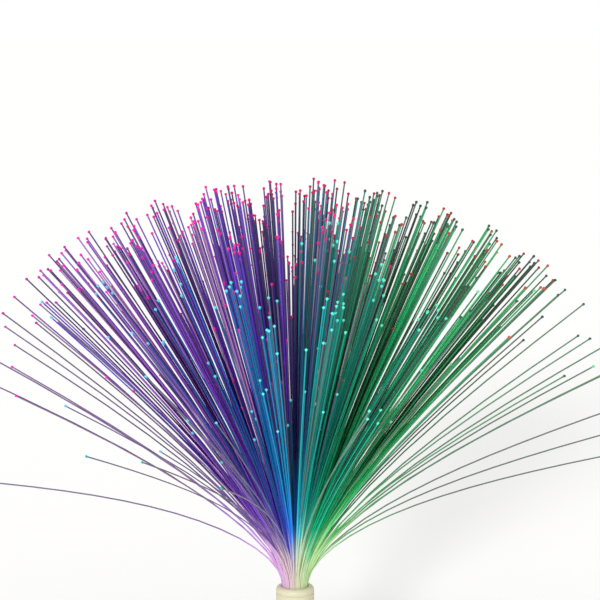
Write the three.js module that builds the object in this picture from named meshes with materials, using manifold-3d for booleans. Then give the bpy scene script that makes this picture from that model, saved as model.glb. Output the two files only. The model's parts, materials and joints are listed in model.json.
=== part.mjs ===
// A table-top fibre optic lamp, in millimetres, +Z up, standing on z = 0 with its axis on the Z axis.
// A spray of plastic optical fibres is bonded into a collar that plugs into the neck of a round base with
// batteries. In the base a white LED shines up through a motor-driven colour wheel into the ends of the fibres.
import * as THREE from 'three';
import { mergeVertices } from 'three/addons/utils/BufferGeometryUtils.js';
import Module from 'manifold-3d';

const wasm = await Module();
wasm.setup();

// Driving dimensions: the spray of fibres
const FIBRE_LENGTH = 247;
const FIBRE_THICKNESS = 0.66;
const FIBRE_PITCH = 0.75;
const BUNDLE_DIAMETER = 15.4;
const SPREAD_ANGLE = THREE.MathUtils.degToRad(49);
const LONE_SPREAD_ANGLE = THREE.MathUtils.degToRad(64);
const ROOT_BEND_LENGTH = 12;
const FAR_BEND_LENGTH = 70;
const TIP_BEAD_DIAMETER = 1.8;
const TIP_BEAD_LENGTH = 1.5;

// Driving dimensions: the collar that holds the fibres
const COLLAR_DIAMETER = 23;
const COLLAR_HEIGHT = 12;
const COLLAR_CORNER_RADIUS = 2.4;
const SPIGOT_WALL = 1.8;
const SPIGOT_LENGTH = 24;

// Driving dimensions: the base
const WALL = 2.2;
const PLATE_THICKNESS = 3;
const FOOT_HEIGHT = 2.5;
const FOOT_DIAMETER = 10;
const BASE_FLARE = 5;
const NECK_HEIGHT = 6;
const NECK_WALL = 2.8;

// Driving dimensions: the batteries, the light and the colour wheel
const CELL_DIAMETER = 14.5;
const CELL_LENGTH = 50.5;
const CELL_COUNT = 3;
const BOARD_THICKNESS = 1.6;
const BOARD_RADIUS = 38;
const LENS_HEIGHT = 8.5;
const LENS_TOP_DIAMETER = 13;
const WHEEL_OFFSET = 14;
const WHEEL_THICKNESS = 3;
const WHEEL_TEETH = 40;
const PINION_TEETH = 10;
const MOTOR_DIAMETER = 20;
const MOTOR_HEIGHT = 9.5;

// Directions seen from above
const COLOUR_AXIS_ANGLE = THREE.MathUtils.degToRad(62);
const MOTOR_ANGLE = THREE.MathUtils.degToRad(190);

// Clearances
const SEAT_GAP = 0.3;
const RUNNING_GAP = 0.3;
const WHEEL_GAP = 1.8;
const CUT_OVERRUN = 2;

const FULL_TURN = 2 * Math.PI;
const QUARTER_TURN = Math.PI / 2;
const GOLDEN_ANGLE = Math.PI * (3 - Math.sqrt(5));

// Heights above the table, from the feet up to the top of the collar
const plateTop = FOOT_HEIGHT + PLATE_THICKNESS;
const CELL_ROOM = 0.5;
const BOX_WALL = 1.6;
const POST_HEIGHT = 2;
const cellAxisHeight = plateTop + CELL_ROOM + CELL_DIAMETER / 2;
const boxCeiling = cellAxisHeight + CELL_DIAMETER / 2 + CELL_ROOM;
const boxTop = boxCeiling + BOX_WALL;
const boardBottom = boxTop + POST_HEIGHT + SEAT_GAP;
const boardTop = boardBottom + BOARD_THICKNESS;
const STAR_THICKNESS = 1.6;
const starBottom = boardTop + SEAT_GAP;
const starTop = starBottom + STAR_THICKNESS;
const lensBottom = starTop + SEAT_GAP;
const lensTop = lensBottom + LENS_HEIGHT;
const wheelBottom = lensTop + WHEEL_GAP;
const wheelTop = wheelBottom + WHEEL_THICKNESS;
const FILTER_THICKNESS = 0.5;
const filterBottom = wheelTop + SEAT_GAP;
const filterTop = filterBottom + FILTER_THICKNESS;
const bundleBottom = filterTop + WHEEL_GAP;
const neckTop = bundleBottom + SPIGOT_LENGTH;
const collarBottom = neckTop + SEAT_GAP;
const collarTop = collarBottom + COLLAR_HEIGHT;
const GLUE_RECESS = 0.5;
const bundleTop = collarTop - GLUE_RECESS;

// Radii that follow from each other: the bundle, the spigot round it, the socket and the neck round that
const bundleRadius = BUNDLE_DIAMETER / 2;
const collarBore = bundleRadius + SEAT_GAP;
const spigotRadius = collarBore + SPIGOT_WALL;
const socketBore = spigotRadius + RUNNING_GAP;
const SOCKET_WALL = 2;
const socketRadius = socketBore + SOCKET_WALL;
const neckRadius = socketBore + NECK_WALL;

// The colour wheel's rim clears the light that reaches the bundle, and its teeth stand outside the rim
const RIM_MARGIN = 0.4;
const RIM_WIDTH = 1.6;
const ADDENDUM_SHARE = 0.8;
const DEDENDUM_SHARE = 1;
const rimInside = WHEEL_OFFSET + bundleRadius + RIM_MARGIN;
const wheelPitchRadius = (rimInside + RIM_WIDTH) / (1 - 2 * DEDENDUM_SHARE / WHEEL_TEETH);
const gearModule = 2 * wheelPitchRadius / WHEEL_TEETH;
const pinionPitchRadius = gearModule * PINION_TEETH / 2;
const wheelTipRadius = wheelPitchRadius + ADDENDUM_SHARE * gearModule;
const wheelX = WHEEL_OFFSET * Math.cos(COLOUR_AXIS_ANGLE);
const wheelY = WHEEL_OFFSET * Math.sin(COLOUR_AXIS_ANGLE);
const motorX = wheelX + (wheelPitchRadius + pinionPitchRadius) * Math.cos(MOTOR_ANGLE);
const motorY = wheelY + (wheelPitchRadius + pinionPitchRadius) * Math.sin(MOTOR_ANGLE);

// The base is as wide as the colour wheel's sweep asks for
const WHEEL_ROOM = 3;
const SHOULDER_ROOM = 2.5;
const BAND_HEIGHT = 5;
const BAND_STEP = 0.8;
const shoulderRadius = WHEEL_OFFSET + wheelTipRadius + WHEEL_ROOM + WALL;
const shoulderHeight = filterTop + SHOULDER_ROOM;
const baseRadius = shoulderRadius + BASE_FLARE;
const bandTop = FOOT_HEIGHT + BAND_HEIGHT;
const flankBottomRadius = baseRadius - BAND_STEP;

/** Outer radius of the base's sloping flank at a height. */
function flankRadius(height) {
  const share = (height - bandTop) / (shoulderHeight - bandTop);
  return flankBottomRadius + (shoulderRadius - flankBottomRadius) * share;
}

const cream = { color: 0xf3ecd2, roughness: 0.45, metalness: 0 };
const ivory = { color: 0xe9e2c8, roughness: 0.5, metalness: 0 };
const black = { color: 0x1c1c1e, roughness: 0.6, metalness: 0 };
const steel = { color: 0xb9bcc0, roughness: 0.35, metalness: 1 };
const brass = { color: 0xc9a650, roughness: 0.35, metalness: 1 };
const board = { color: 0x1f6b3a, roughness: 0.5, metalness: 0 };
const clear = { color: 0xeef6fa, roughness: 0.05, metalness: 0 };
const white = { color: 0xf2f2ee, roughness: 0.5, metalness: 0 };
const aluminium = { color: 0xc8cacc, roughness: 0.4, metalness: 1 };
const rubber = { color: 0x2a2a2b, roughness: 0.9, metalness: 0 };
const red = { color: 0xb02a22, roughness: 0.5, metalness: 0 };
const violet = { color: 0x7a3fd0, roughness: 0.25, metalness: 0 };
const blue = { color: 0x2338c0, roughness: 0.25, metalness: 0 };
const teal = { color: 0x18a79c, roughness: 0.25, metalness: 0 };
const green = { color: 0x189a4c, roughness: 0.25, metalness: 0 };

const lamp = new THREE.Group();

/** A closed geometry as a solid, with shared vertices merged and slivers of no area dropped. */
function solidOf(geometry) {
  const bare = geometry.index ? geometry.toNonIndexed() : geometry.clone();
  for (const name of Object.keys(bare.attributes)) {
    if (name !== 'position') bare.deleteAttribute(name);
  }
  const merged = mergeVertices(bare, 1e-4);
  const corners = merged.index.array;
  const kept = [];
  for (let i = 0; i < corners.length; i += 3) {
    const [a, b, c] = [corners[i], corners[i + 1], corners[i + 2]];
    if (a !== b && b !== c && c !== a) kept.push(a, b, c);
  }
  const mesh = new wasm.Mesh({
    numProp: 3,
    vertProperties: merged.attributes.position.array,
    triVerts: new Uint32Array(kept),
  });
  return new wasm.Manifold(mesh);
}

/** A solid as a geometry with flat normals. */
function geometryOf(solid) {
  const mesh = solid.getMesh();
  const positions = new Float32Array(mesh.numVert * 3);
  for (let i = 0; i < mesh.numVert; i++) {
    positions.set(mesh.vertProperties.subarray(i * mesh.numProp, i * mesh.numProp + 3), i * 3);
  }
  const indexed = new THREE.BufferGeometry();
  indexed.setAttribute('position', new THREE.BufferAttribute(positions, 3));
  indexed.setIndex(new THREE.BufferAttribute(mesh.triVerts, 1));
  const flat = indexed.toNonIndexed();
  flat.computeVertexNormals();
  return flat;
}

/** Adds a named piece to the lamp, at a place if one is given. */
function addPiece(name, solid, finish, x = 0, y = 0, z = 0, turn = 0) {
  const piece = new THREE.Mesh(geometryOf(solid), new THREE.MeshStandardMaterial(finish));
  piece.name = name;
  piece.position.set(x, y, z);
  piece.rotation.z = turn;
  lamp.add(piece);
}

/** A profile of [radius, height] points, turned about the Z axis. It closes on itself or ends on the axis. */
function turned(profile, segments) {
  const points = profile.map(([radius, height]) => new THREE.Vector2(radius, height));
  const onAxis = profile[0][0] === 0 && profile[profile.length - 1][0] === 0;
  if (!onAxis) points.push(points[0].clone());
  const geometry = new THREE.LatheGeometry(points, segments);
  geometry.rotateX(QUARTER_TURN);
  return solidOf(geometry);
}

/** An outline of [x, y] points, with outlines of holes, raised from one height to another. */
function raised(outline, bottom, top, holes = []) {
  const shape = new THREE.Shape(outline.map(([x, y]) => new THREE.Vector2(x, y)));
  for (const hole of holes) {
    shape.holes.push(new THREE.Path(hole.map(([x, y]) => new THREE.Vector2(x, y))));
  }
  const geometry = new THREE.ExtrudeGeometry(shape, { depth: top - bottom, bevelEnabled: false });
  geometry.translate(0, 0, bottom);
  return solidOf(geometry);
}

/** A block between two corners. */
function block(x0, y0, z0, x1, y1, z1) {
  const geometry = new THREE.BoxGeometry(x1 - x0, y1 - y0, z1 - z0);
  geometry.translate((x0 + x1) / 2, (y0 + y1) / 2, (z0 + z1) / 2);
  return solidOf(geometry);
}

/** A round rod along Z. */
function rod(radius, bottom, top, sides, x = 0, y = 0) {
  const geometry = new THREE.CylinderGeometry(radius, radius, top - bottom, sides);
  geometry.rotateX(QUARTER_TURN);
  geometry.translate(x, y, (bottom + top) / 2);
  return solidOf(geometry);
}

/** A round rod along X. */
function crossRod(radius, x0, x1, y, z, sides) {
  const geometry = new THREE.CylinderGeometry(radius, radius, x1 - x0, sides);
  geometry.rotateZ(QUARTER_TURN);
  geometry.translate((x0 + x1) / 2, y, z);
  return solidOf(geometry);
}

/** Points of an arc about a centre, both ends included. */
function arc(centreX, centreY, radiusX, radiusY, start, end, steps) {
  return Array.from({ length: steps + 1 }, (_, i) => {
    const angle = start + (end - start) * i / steps;
    return [centreX + radiusX * Math.cos(angle), centreY + radiusY * Math.sin(angle)];
  });
}

/** Corners of a circle, one per side. */
function circle(radius, sides, x = 0, y = 0) {
  return arc(x, y, radius, radius, 0, FULL_TURN, sides).slice(0, sides);
}

// Screws, all turned alike: a round head below, its shank above
const SCREW_SHANK_RADIUS = 1.2;
const SCREW_HOLE_RADIUS = SCREW_SHANK_RADIUS + SEAT_GAP;
const SCREW_HEAD_RADIUS = 2.6;
const SCREW_HEAD_HEIGHT = 1.2;
const SCREW_CHAMFER = 0.4;
const SCREW_SIDES = 8;
const HEAD_RECESS_RADIUS = SCREW_HEAD_RADIUS + SEAT_GAP;
const HEAD_RECESS_DEPTH = SCREW_HEAD_HEIGHT + SEAT_GAP;

/** A screw with the bearing face of its head at z = 0 and its point upwards. */
function screw(length) {
  return turned([
    [0, -SCREW_HEAD_HEIGHT],
    [SCREW_HEAD_RADIUS - SCREW_CHAMFER, -SCREW_HEAD_HEIGHT],
    [SCREW_HEAD_RADIUS, -SCREW_HEAD_HEIGHT + SCREW_CHAMFER],
    [SCREW_HEAD_RADIUS, 0],
    [SCREW_SHANK_RADIUS, 0],
    [SCREW_SHANK_RADIUS, length - SCREW_SHANK_RADIUS],
    [0, length],
  ], SCREW_SIDES);
}

// Base shell: a round skirt with a foot band, a domed shoulder, the neck, and the socket that hangs inside it
const SHELL_SEGMENTS = 32;
const SHOULDER_STEPS = 5;
const FILLET_STEPS = 3;
const NECK_FILLET = 3;
const KEY_WIDTH = 3;
const KEY_DEPTH = 1.2;
const keyHalfWidth = KEY_WIDTH / 2;
const NECK_CHAMFER = 0.6;
const SOCKET_LIFT = 2;
const BOSS_RADIUS = 3.6;
const BOSS_HEIGHT = 10.5;
const BOSS_SIDES = 12;
const BASE_SCREW_LENGTH = 10;
const SCREW_ANGLES = [1, 3, 5, 7].map((eighth) => eighth * Math.PI / 4);
const neckFootHeight = neckTop - NECK_HEIGHT;
const bossRing = baseRadius - WALL - BOSS_RADIUS + SEAT_GAP;
const bossBottom = plateTop + SEAT_GAP;
const screwSeat = FOOT_HEIGHT + HEAD_RECESS_DEPTH;

const SWITCH_TRAVEL = 4;
const SWITCH_HEIGHT = 15;
const STEM_WIDTH = 3;
const STEM_HEIGHT = 3;
const SLOT_GAP = 0.4;
const slotHalfWidth = (STEM_WIDTH + SWITCH_TRAVEL) / 2 + SLOT_GAP;
const slotHalfHeight = STEM_HEIGHT / 2 + SLOT_GAP;
const PAD_HALF_WIDTH = 10;
const PAD_HALF_HEIGHT = 4.5;
const PAD_DEPTH = 4;
const padFace = flankRadius(SWITCH_HEIGHT + PAD_HALF_HEIGHT) - WALL - PAD_DEPTH;

function baseShell() {
  const filletCentre = neckRadius + NECK_FILLET;
  const outside = [
    [baseRadius, FOOT_HEIGHT],
    [baseRadius, bandTop - BAND_STEP],
    [flankBottomRadius, bandTop],
    ...arc(filletCentre, shoulderHeight, shoulderRadius - filletCentre,
      neckFootHeight - shoulderHeight, 0, QUARTER_TURN, SHOULDER_STEPS),
    ...arc(filletCentre, neckFootHeight + NECK_FILLET, NECK_FILLET, NECK_FILLET,
      -QUARTER_TURN, -2 * QUARTER_TURN, FILLET_STEPS).slice(1),
    [neckRadius, neckTop - NECK_CHAMFER],
    [neckRadius - NECK_CHAMFER, neckTop],
  ];
  const socket = [
    [socketBore, neckTop],
    [socketBore, bundleBottom + SOCKET_LIFT],
    [socketRadius, bundleBottom + SOCKET_LIFT],
  ];
  const inside = [
    ...arc(socketRadius, shoulderHeight, shoulderRadius - WALL - socketRadius,
      neckFootHeight - WALL - shoulderHeight, QUARTER_TURN, 0, SHOULDER_STEPS),
    [flankBottomRadius - WALL, bandTop],
    [baseRadius - WALL, bandTop - BAND_STEP],
    [baseRadius - WALL, FOOT_HEIGHT],
  ];
  let shell = turned([...outside, ...socket, ...inside], SHELL_SEGMENTS);
  shell = shell.subtract(block(-keyHalfWidth - RUNNING_GAP, 0, bundleBottom, keyHalfWidth + RUNNING_GAP,
    spigotRadius + KEY_DEPTH + RUNNING_GAP, neckTop + CUT_OVERRUN));
  for (const angle of SCREW_ANGLES) {
    const [x, y] = [bossRing * Math.cos(angle), bossRing * Math.sin(angle)];
    const holeTop = screwSeat + BASE_SCREW_LENGTH + SEAT_GAP;
    shell = shell.add(rod(BOSS_RADIUS, bossBottom, bossBottom + BOSS_HEIGHT, BOSS_SIDES, x, y));
    shell = shell.subtract(rod(SCREW_HOLE_RADIUS, bossBottom - CUT_OVERRUN, holeTop, SCREW_SIDES, x, y));
  }
  const padTop = SWITCH_HEIGHT + PAD_HALF_HEIGHT;
  const padBottom = SWITCH_HEIGHT - PAD_HALF_HEIGHT;
  const pad = block(-PAD_HALF_WIDTH, padFace, padBottom, PAD_HALF_WIDTH, baseRadius, padTop);
  const insideWall = rod(flankRadius(padTop) - WALL / 3, padBottom - CUT_OVERRUN, padTop + CUT_OVERRUN,
    SHELL_SEGMENTS);
  return shell.add(pad.intersect(insideWall)).subtract(block(-slotHalfWidth, padFace - CUT_OVERRUN,
    SWITCH_HEIGHT - slotHalfHeight, slotHalfWidth, baseRadius + CUT_OVERRUN, SWITCH_HEIGHT + slotHalfHeight));
}

addPiece('base_shell', baseShell(), cream);

// Battery bay: the cells lie side by side along Y, under a box that stands on the base plate
const CONTACT_ROOM = 2.5;
const DOOR_GAP = 0.4;
const HINGE_RADIUS = PLATE_THICKNESS / 2;
const HINGE_PIN_RADIUS = 0.8;
const HINGE_PIN_LENGTH = 1.6;
const HINGE_SIDES = 12;
const DOOR_LUG_WIDTH = 9;
const DOOR_LUG_MARGIN = 4;
const DOOR_LUG_THICKNESS = 1.3;
const DOOR_SCREW_LENGTH = 5;
const DOOR_BOSS_RADIUS = 2.9;
const DOOR_BOSS_HEIGHT = 4;
const cellPitch = CELL_DIAMETER + CELL_ROOM;
const bayWidth = CELL_COUNT * cellPitch + CELL_ROOM;
const bayLength = CELL_LENGTH + 2 * CONTACT_ROOM;
const bayHalfWidth = bayWidth / 2;
const bayHalfLength = bayLength / 2;
const hingeY = -bayHalfLength + HINGE_RADIUS + RUNNING_GAP;
const hingeHeight = FOOT_HEIGHT + HINGE_RADIUS;
const lugScrewY = bayHalfLength + BOX_WALL + SEAT_GAP + DOOR_BOSS_RADIUS;
const lugEnd = lugScrewY + DOOR_LUG_MARGIN;

/** The foot's place on the plate, one between each pair of screws, clear of the door. */
const FOOT_ANGLES = SCREW_ANGLES.map((angle, i) => angle + (i % 2 ? 1 : -1) * Math.PI / 8);
const footRing = baseRadius - WALL - FOOT_DIAMETER / 2 - BOSS_RADIUS / 2;
const FOOT_PIN_RADIUS = 2;
const FOOT_PIN_LENGTH = 1.5;

function basePlate() {
  const bay = [
    [-bayHalfWidth, -bayHalfLength], [bayHalfWidth, -bayHalfLength],
    [bayHalfWidth, bayHalfLength], [-bayHalfWidth, bayHalfLength],
  ];
  let plate = raised(circle(baseRadius - WALL - SEAT_GAP, SHELL_SEGMENTS), FOOT_HEIGHT, plateTop, [bay]);
  plate = plate.add(rod(DOOR_BOSS_RADIUS, plateTop - SEAT_GAP, plateTop + DOOR_BOSS_HEIGHT, BOSS_SIDES,
    0, lugScrewY));
  for (const angle of SCREW_ANGLES) {
    const [x, y] = [bossRing * Math.cos(angle), bossRing * Math.sin(angle)];
    plate = plate.subtract(rod(SCREW_HOLE_RADIUS, FOOT_HEIGHT - CUT_OVERRUN, plateTop + CUT_OVERRUN,
      SCREW_SIDES, x, y));
    plate = plate.subtract(rod(HEAD_RECESS_RADIUS, FOOT_HEIGHT - CUT_OVERRUN, screwSeat, SCREW_SIDES, x, y));
  }
  for (const angle of FOOT_ANGLES) {
    plate = plate.subtract(rod(FOOT_PIN_RADIUS + SEAT_GAP, FOOT_HEIGHT - CUT_OVERRUN,
      FOOT_HEIGHT + FOOT_PIN_LENGTH + SEAT_GAP, SCREW_SIDES,
      footRing * Math.cos(angle), footRing * Math.sin(angle)));
  }
  const lugHalfWidth = DOOR_LUG_WIDTH / 2 + DOOR_GAP;
  plate = plate.subtract(block(-lugHalfWidth, bayHalfLength - CUT_OVERRUN, FOOT_HEIGHT - CUT_OVERRUN,
    lugHalfWidth, lugEnd + DOOR_GAP, FOOT_HEIGHT + DOOR_LUG_THICKNESS + SEAT_GAP));
  plate = plate.subtract(rod(SCREW_HOLE_RADIUS, FOOT_HEIGHT,
    FOOT_HEIGHT + DOOR_SCREW_LENGTH + SEAT_GAP, SCREW_SIDES, 0, lugScrewY));
  const pinReach = bayHalfWidth + HINGE_PIN_LENGTH;
  return plate.subtract(crossRod(HINGE_PIN_RADIUS + RUNNING_GAP, -pinReach, pinReach, hingeY, hingeHeight,
    HINGE_SIDES));
}

function batteryDoor() {
  const halfWidth = bayHalfWidth - DOOR_GAP;
  let door = block(-halfWidth, hingeY, FOOT_HEIGHT, halfWidth, bayHalfLength - DOOR_GAP, plateTop);
  door = door.add(crossRod(HINGE_RADIUS, -halfWidth, halfWidth, hingeY, hingeHeight, HINGE_SIDES));
  const pinReach = bayHalfWidth + HINGE_PIN_LENGTH - RUNNING_GAP;
  door = door.add(crossRod(HINGE_PIN_RADIUS, -pinReach, pinReach, hingeY, hingeHeight, HINGE_SIDES));
  door = door.add(block(-DOOR_LUG_WIDTH / 2, bayHalfLength - DOOR_GAP - CUT_OVERRUN, FOOT_HEIGHT,
    DOOR_LUG_WIDTH / 2, lugEnd, FOOT_HEIGHT + DOOR_LUG_THICKNESS));
  return door.subtract(rod(SCREW_HOLE_RADIUS, FOOT_HEIGHT - CUT_OVERRUN, plateTop + CUT_OVERRUN,
    SCREW_SIDES, 0, lugScrewY));
}

const LEAD_RADIUS = 0.6;
const LEAD_HOLE_RADIUS = LEAD_RADIUS + SEAT_GAP;
const LEAD_SIDES = 5;
const CONTACT_WIDTH = 8;
const CONTACT_HEIGHT = 9;
const BOARD_SCREW_LENGTH = 5;
const POST_RADIUS = 3;
const POST_INSET = 6.3;
const postRing = BOARD_RADIUS - POST_INSET;
const postAngle = Math.atan2(bayHalfLength - POST_RADIUS, bayHalfWidth - POST_RADIUS);
const postX = postRing * Math.cos(postAngle);
const postY = postRing * Math.sin(postAngle);

/** The box over the cells, with four posts for the control board and holes for the battery leads. */
function batteryBox() {
  let box = block(-bayHalfWidth - BOX_WALL, -bayHalfLength - BOX_WALL, plateTop + SEAT_GAP,
    bayHalfWidth + BOX_WALL, bayHalfLength + BOX_WALL, boxTop);
  box = box.subtract(block(-bayHalfWidth, -bayHalfLength, plateTop - CUT_OVERRUN,
    bayHalfWidth, bayHalfLength, boxCeiling));
  for (const [sideX, sideY] of [[1, 1], [-1, 1], [-1, -1], [1, -1]]) {
    box = box.add(rod(POST_RADIUS, boxTop - SEAT_GAP, boxTop + POST_HEIGHT, SCREW_SIDES,
      sideX * postX, sideY * postY));
  }
  for (const side of [1, -1]) {
    box = box.subtract(rod(SCREW_HOLE_RADIUS, boxCeiling + SEAT_GAP, boardBottom + CUT_OVERRUN, SCREW_SIDES,
      side * postX, side * postY));
    const hole = new THREE.CylinderGeometry(LEAD_HOLE_RADIUS, LEAD_HOLE_RADIUS, 2 * CUT_OVERRUN + BOX_WALL,
      SCREW_SIDES);
    hole.translate(side * cellPitch, side * (bayHalfLength + BOX_WALL / 2), cellAxisHeight);
    box = box.subtract(solidOf(hole));
  }
  return box;
}

addPiece('base_plate', basePlate(), cream);
addPiece('battery_door', batteryDoor(), cream);
addPiece('battery_door_screw', screw(DOOR_SCREW_LENGTH), steel, 0, lugScrewY, FOOT_HEIGHT - SEAT_GAP);
addPiece('battery_box', batteryBox(), ivory);
SCREW_ANGLES.forEach((angle, i) => {
  addPiece(`base_screw_${i + 1}`, screw(BASE_SCREW_LENGTH), steel,
    bossRing * Math.cos(angle), bossRing * Math.sin(angle), screwSeat - SEAT_GAP);
});

const FOOT_CHAMFER = 0.8;
const FOOT_SIDES = 12;

function foot() {
  const radius = FOOT_DIAMETER / 2;
  return turned([
    [0, 0],
    [radius - FOOT_CHAMFER, 0],
    [radius, FOOT_CHAMFER],
    [radius, FOOT_HEIGHT - SEAT_GAP],
    [FOOT_PIN_RADIUS, FOOT_HEIGHT - SEAT_GAP],
    [FOOT_PIN_RADIUS, FOOT_HEIGHT + FOOT_PIN_LENGTH],
    [0, FOOT_HEIGHT + FOOT_PIN_LENGTH],
  ], FOOT_SIDES);
}

FOOT_ANGLES.forEach((angle, i) => {
  addPiece(`rubber_foot_${i + 1}`, foot(), rubber, footRing * Math.cos(angle), footRing * Math.sin(angle));
});

// The cells, and the spring leaf contacts at their ends
const CELL_CHAMFER = 0.8;
const CELL_SIDES = 16;
const NUB_RADIUS = 2.75;
const NUB_HEIGHT = 1;

/** A cell along Z from 0 to its length, nub upwards. */
function cell() {
  const radius = CELL_DIAMETER / 2;
  const shoulder = CELL_LENGTH - NUB_HEIGHT;
  const upright = turned([
    [0, 0],
    [radius - CELL_CHAMFER, 0],
    [radius, CELL_CHAMFER],
    [radius, shoulder - CELL_CHAMFER],
    [radius - CELL_CHAMFER, shoulder],
    [NUB_RADIUS, shoulder],
    [NUB_RADIUS, CELL_LENGTH],
    [0, CELL_LENGTH],
  ], CELL_SIDES);
  return upright.translate([0, 0, -CELL_LENGTH / 2]);
}

for (let i = 0; i < CELL_COUNT; i++) {
  const nubForward = i % 2 === 0 ? -1 : 1;
  const geometry = geometryOf(cell());
  geometry.rotateX(-nubForward * QUARTER_TURN);
  addPiece(`battery_cell_${i + 1}`, solidOf(geometry), i % 2 ? aluminium : black,
    (i - (CELL_COUNT - 1) / 2) * cellPitch, 0, cellAxisHeight);
}

const CONTACT_THICKNESS = 0.4;
const LEAF_REACH = CONTACT_ROOM - 2 * SEAT_GAP;

/** A contact strip against the bay's end wall, with a leaf bowed towards the cell. Its back is at y = 0. */
function contact(width) {
  const half = CONTACT_HEIGHT / 2;
  const outline = [
    [0, -half], [CONTACT_THICKNESS, -half], [LEAF_REACH, 0], [CONTACT_THICKNESS, half], [0, half],
    [LEAF_REACH - 2 * CONTACT_THICKNESS, 0],
  ];
  const shape = new THREE.Shape(outline.map(([y, z]) => new THREE.Vector2(y, z)));
  const geometry = new THREE.ExtrudeGeometry(shape, { depth: width, bevelEnabled: false });
  geometry.translate(0, 0, -width / 2);
  geometry.rotateX(QUARTER_TURN);
  geometry.rotateZ(QUARTER_TURN);
  return solidOf(geometry);
}

const bridgeWidth = cellPitch + CONTACT_WIDTH;
const contactY = bayHalfLength - SEAT_GAP;
addPiece('battery_contact_positive', contact(CONTACT_WIDTH), brass, -cellPitch, -contactY, cellAxisHeight);
addPiece('battery_contact_front_bridge', contact(bridgeWidth), brass, cellPitch / 2, -contactY,
  cellAxisHeight);
addPiece('battery_contact_negative', contact(CONTACT_WIDTH), brass, cellPitch, contactY, cellAxisHeight,
  2 * QUARTER_TURN);
addPiece('battery_contact_rear_bridge', contact(bridgeWidth), brass, -cellPitch / 2, contactY,
  cellAxisHeight, 2 * QUARTER_TURN);

// Leads: thin insulated wires, each along a curve through a few points
const LEAD_STEPS = 4;

/** A wire along a quadratic curve from one point by way of a second to a third. */
function lead(start, middle, end) {
  const curve = new THREE.QuadraticBezierCurve3(new THREE.Vector3(...start), new THREE.Vector3(...middle),
    new THREE.Vector3(...end));
  const section = new THREE.Shape(circle(LEAD_RADIUS, LEAD_SIDES).map(([x, y]) => new THREE.Vector2(x, y)));
  return solidOf(new THREE.ExtrudeGeometry(section, { steps: LEAD_STEPS, extrudePath: curve }));
}

const LEAD_BOW = 4;
const LEAD_RUN_IN = 3;
const leadTop = boardBottom - SEAT_GAP;

/** A battery lead: out through the hole in the box's end wall, then up to the control board. */
function batteryLead(side) {
  const x = side * cellPitch;
  const outside = bayHalfLength + BOX_WALL + LEAD_BOW;
  return lead([x, side * bayHalfLength, cellAxisHeight], [x, side * (outside + LEAD_BOW), cellAxisHeight],
    [x, side * (outside - LEAD_RUN_IN), leadTop]);
}

addPiece('battery_lead_positive', batteryLead(-1), red);
addPiece('battery_lead_negative', batteryLead(1), black);

// Slide switch: its body stands against the pad inside the shell, and its stem comes out through the slot
const SWITCH_HALF_WIDTH = 7;
const SWITCH_HALF_HEIGHT = 3.5;
const SWITCH_DEPTH = 5;
const STEM_REACH = 2.2;
const WINDOW_DEPTH = 2.5;
const SWITCH_LEAD_SPACING = 8;
const switchFront = padFace - SEAT_GAP;
const switchBack = switchFront - SWITCH_DEPTH;

function switchBody() {
  const body = block(-SWITCH_HALF_WIDTH, switchBack, SWITCH_HEIGHT - SWITCH_HALF_HEIGHT,
    SWITCH_HALF_WIDTH, switchFront, SWITCH_HEIGHT + SWITCH_HALF_HEIGHT);
  return body.subtract(block(-slotHalfWidth, switchFront - WINDOW_DEPTH, SWITCH_HEIGHT - slotHalfHeight,
    slotHalfWidth, switchFront + CUT_OVERRUN, SWITCH_HEIGHT + slotHalfHeight));
}

function switchSlider() {
  const tip = flankRadius(SWITCH_HEIGHT) + STEM_REACH;
  const stem = block(-STEM_WIDTH / 2, switchFront - WINDOW_DEPTH + SEAT_GAP, -STEM_HEIGHT / 2,
    STEM_WIDTH / 2, tip, STEM_HEIGHT / 2);
  return stem;
}

addPiece('power_switch_body', switchBody(), black);
addPiece('power_switch_slider', switchSlider(), black, -SWITCH_TRAVEL / 2, 0, SWITCH_HEIGHT);

// Its leads go up to the board midway between the battery box and the switch
const switchLeadY = (bayHalfLength + BOX_WALL + switchBack) / 2;
for (const side of [1, -1]) {
  const x = side * SWITCH_LEAD_SPACING / 2;
  addPiece(`power_switch_lead_${side > 0 ? 1 : 2}`, lead([x, switchBack - SEAT_GAP, SWITCH_HEIGHT],
    [x, switchLeadY, SWITCH_HEIGHT], [x, switchLeadY, leadTop]), black);
}

// Control board: a round board on the battery box's posts, which carries the light, the wheel and the motor
const AXLE_RADIUS = 1.5;
const CHIP_HALF_LENGTH = 3.2;
const CHIP_HALF_WIDTH = 2.2;
const CHIP_HEIGHT = 1.6;
const CAPACITOR_RADIUS = 3.1;
const CAPACITOR_HEIGHT = 7;
const PART_RING_SHARE = 0.72;
const CHIP_ANGLE = THREE.MathUtils.degToRad(-50);
const CAPACITOR_ANGLE = THREE.MathUtils.degToRad(-85);
const BOARD_SEGMENTS = 32;
const MOTOR_EAR_RADIUS = 3;
const MOTOR_EAR_THICKNESS = 1.5;
const earRing = MOTOR_DIAMETER / 2 + MOTOR_EAR_RADIUS - SEAT_GAP;
const motorBearing = Math.atan2(motorY, motorX);
const earPlaces = [motorBearing - QUARTER_TURN, motorBearing + QUARTER_TURN].map((angle) => (
  [motorX + earRing * Math.cos(angle), motorY + earRing * Math.sin(angle)]));

function controlBoard() {
  const screwHoles = [[postX, postY], [-postX, -postY], ...earPlaces];
  const holes = screwHoles.map(([x, y]) => circle(SCREW_HOLE_RADIUS, SCREW_SIDES, x, y));
  holes.push(circle(AXLE_RADIUS + SEAT_GAP, SCREW_SIDES, wheelX, wheelY));
  return raised(circle(BOARD_RADIUS, BOARD_SEGMENTS), boardBottom, boardTop, holes);
}

/** A screw from above, with the bearing face of its head at z = 0 and its point downwards. */
function screwFromAbove(length) {
  return screw(length).rotate([180, 0, 0]);
}

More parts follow.
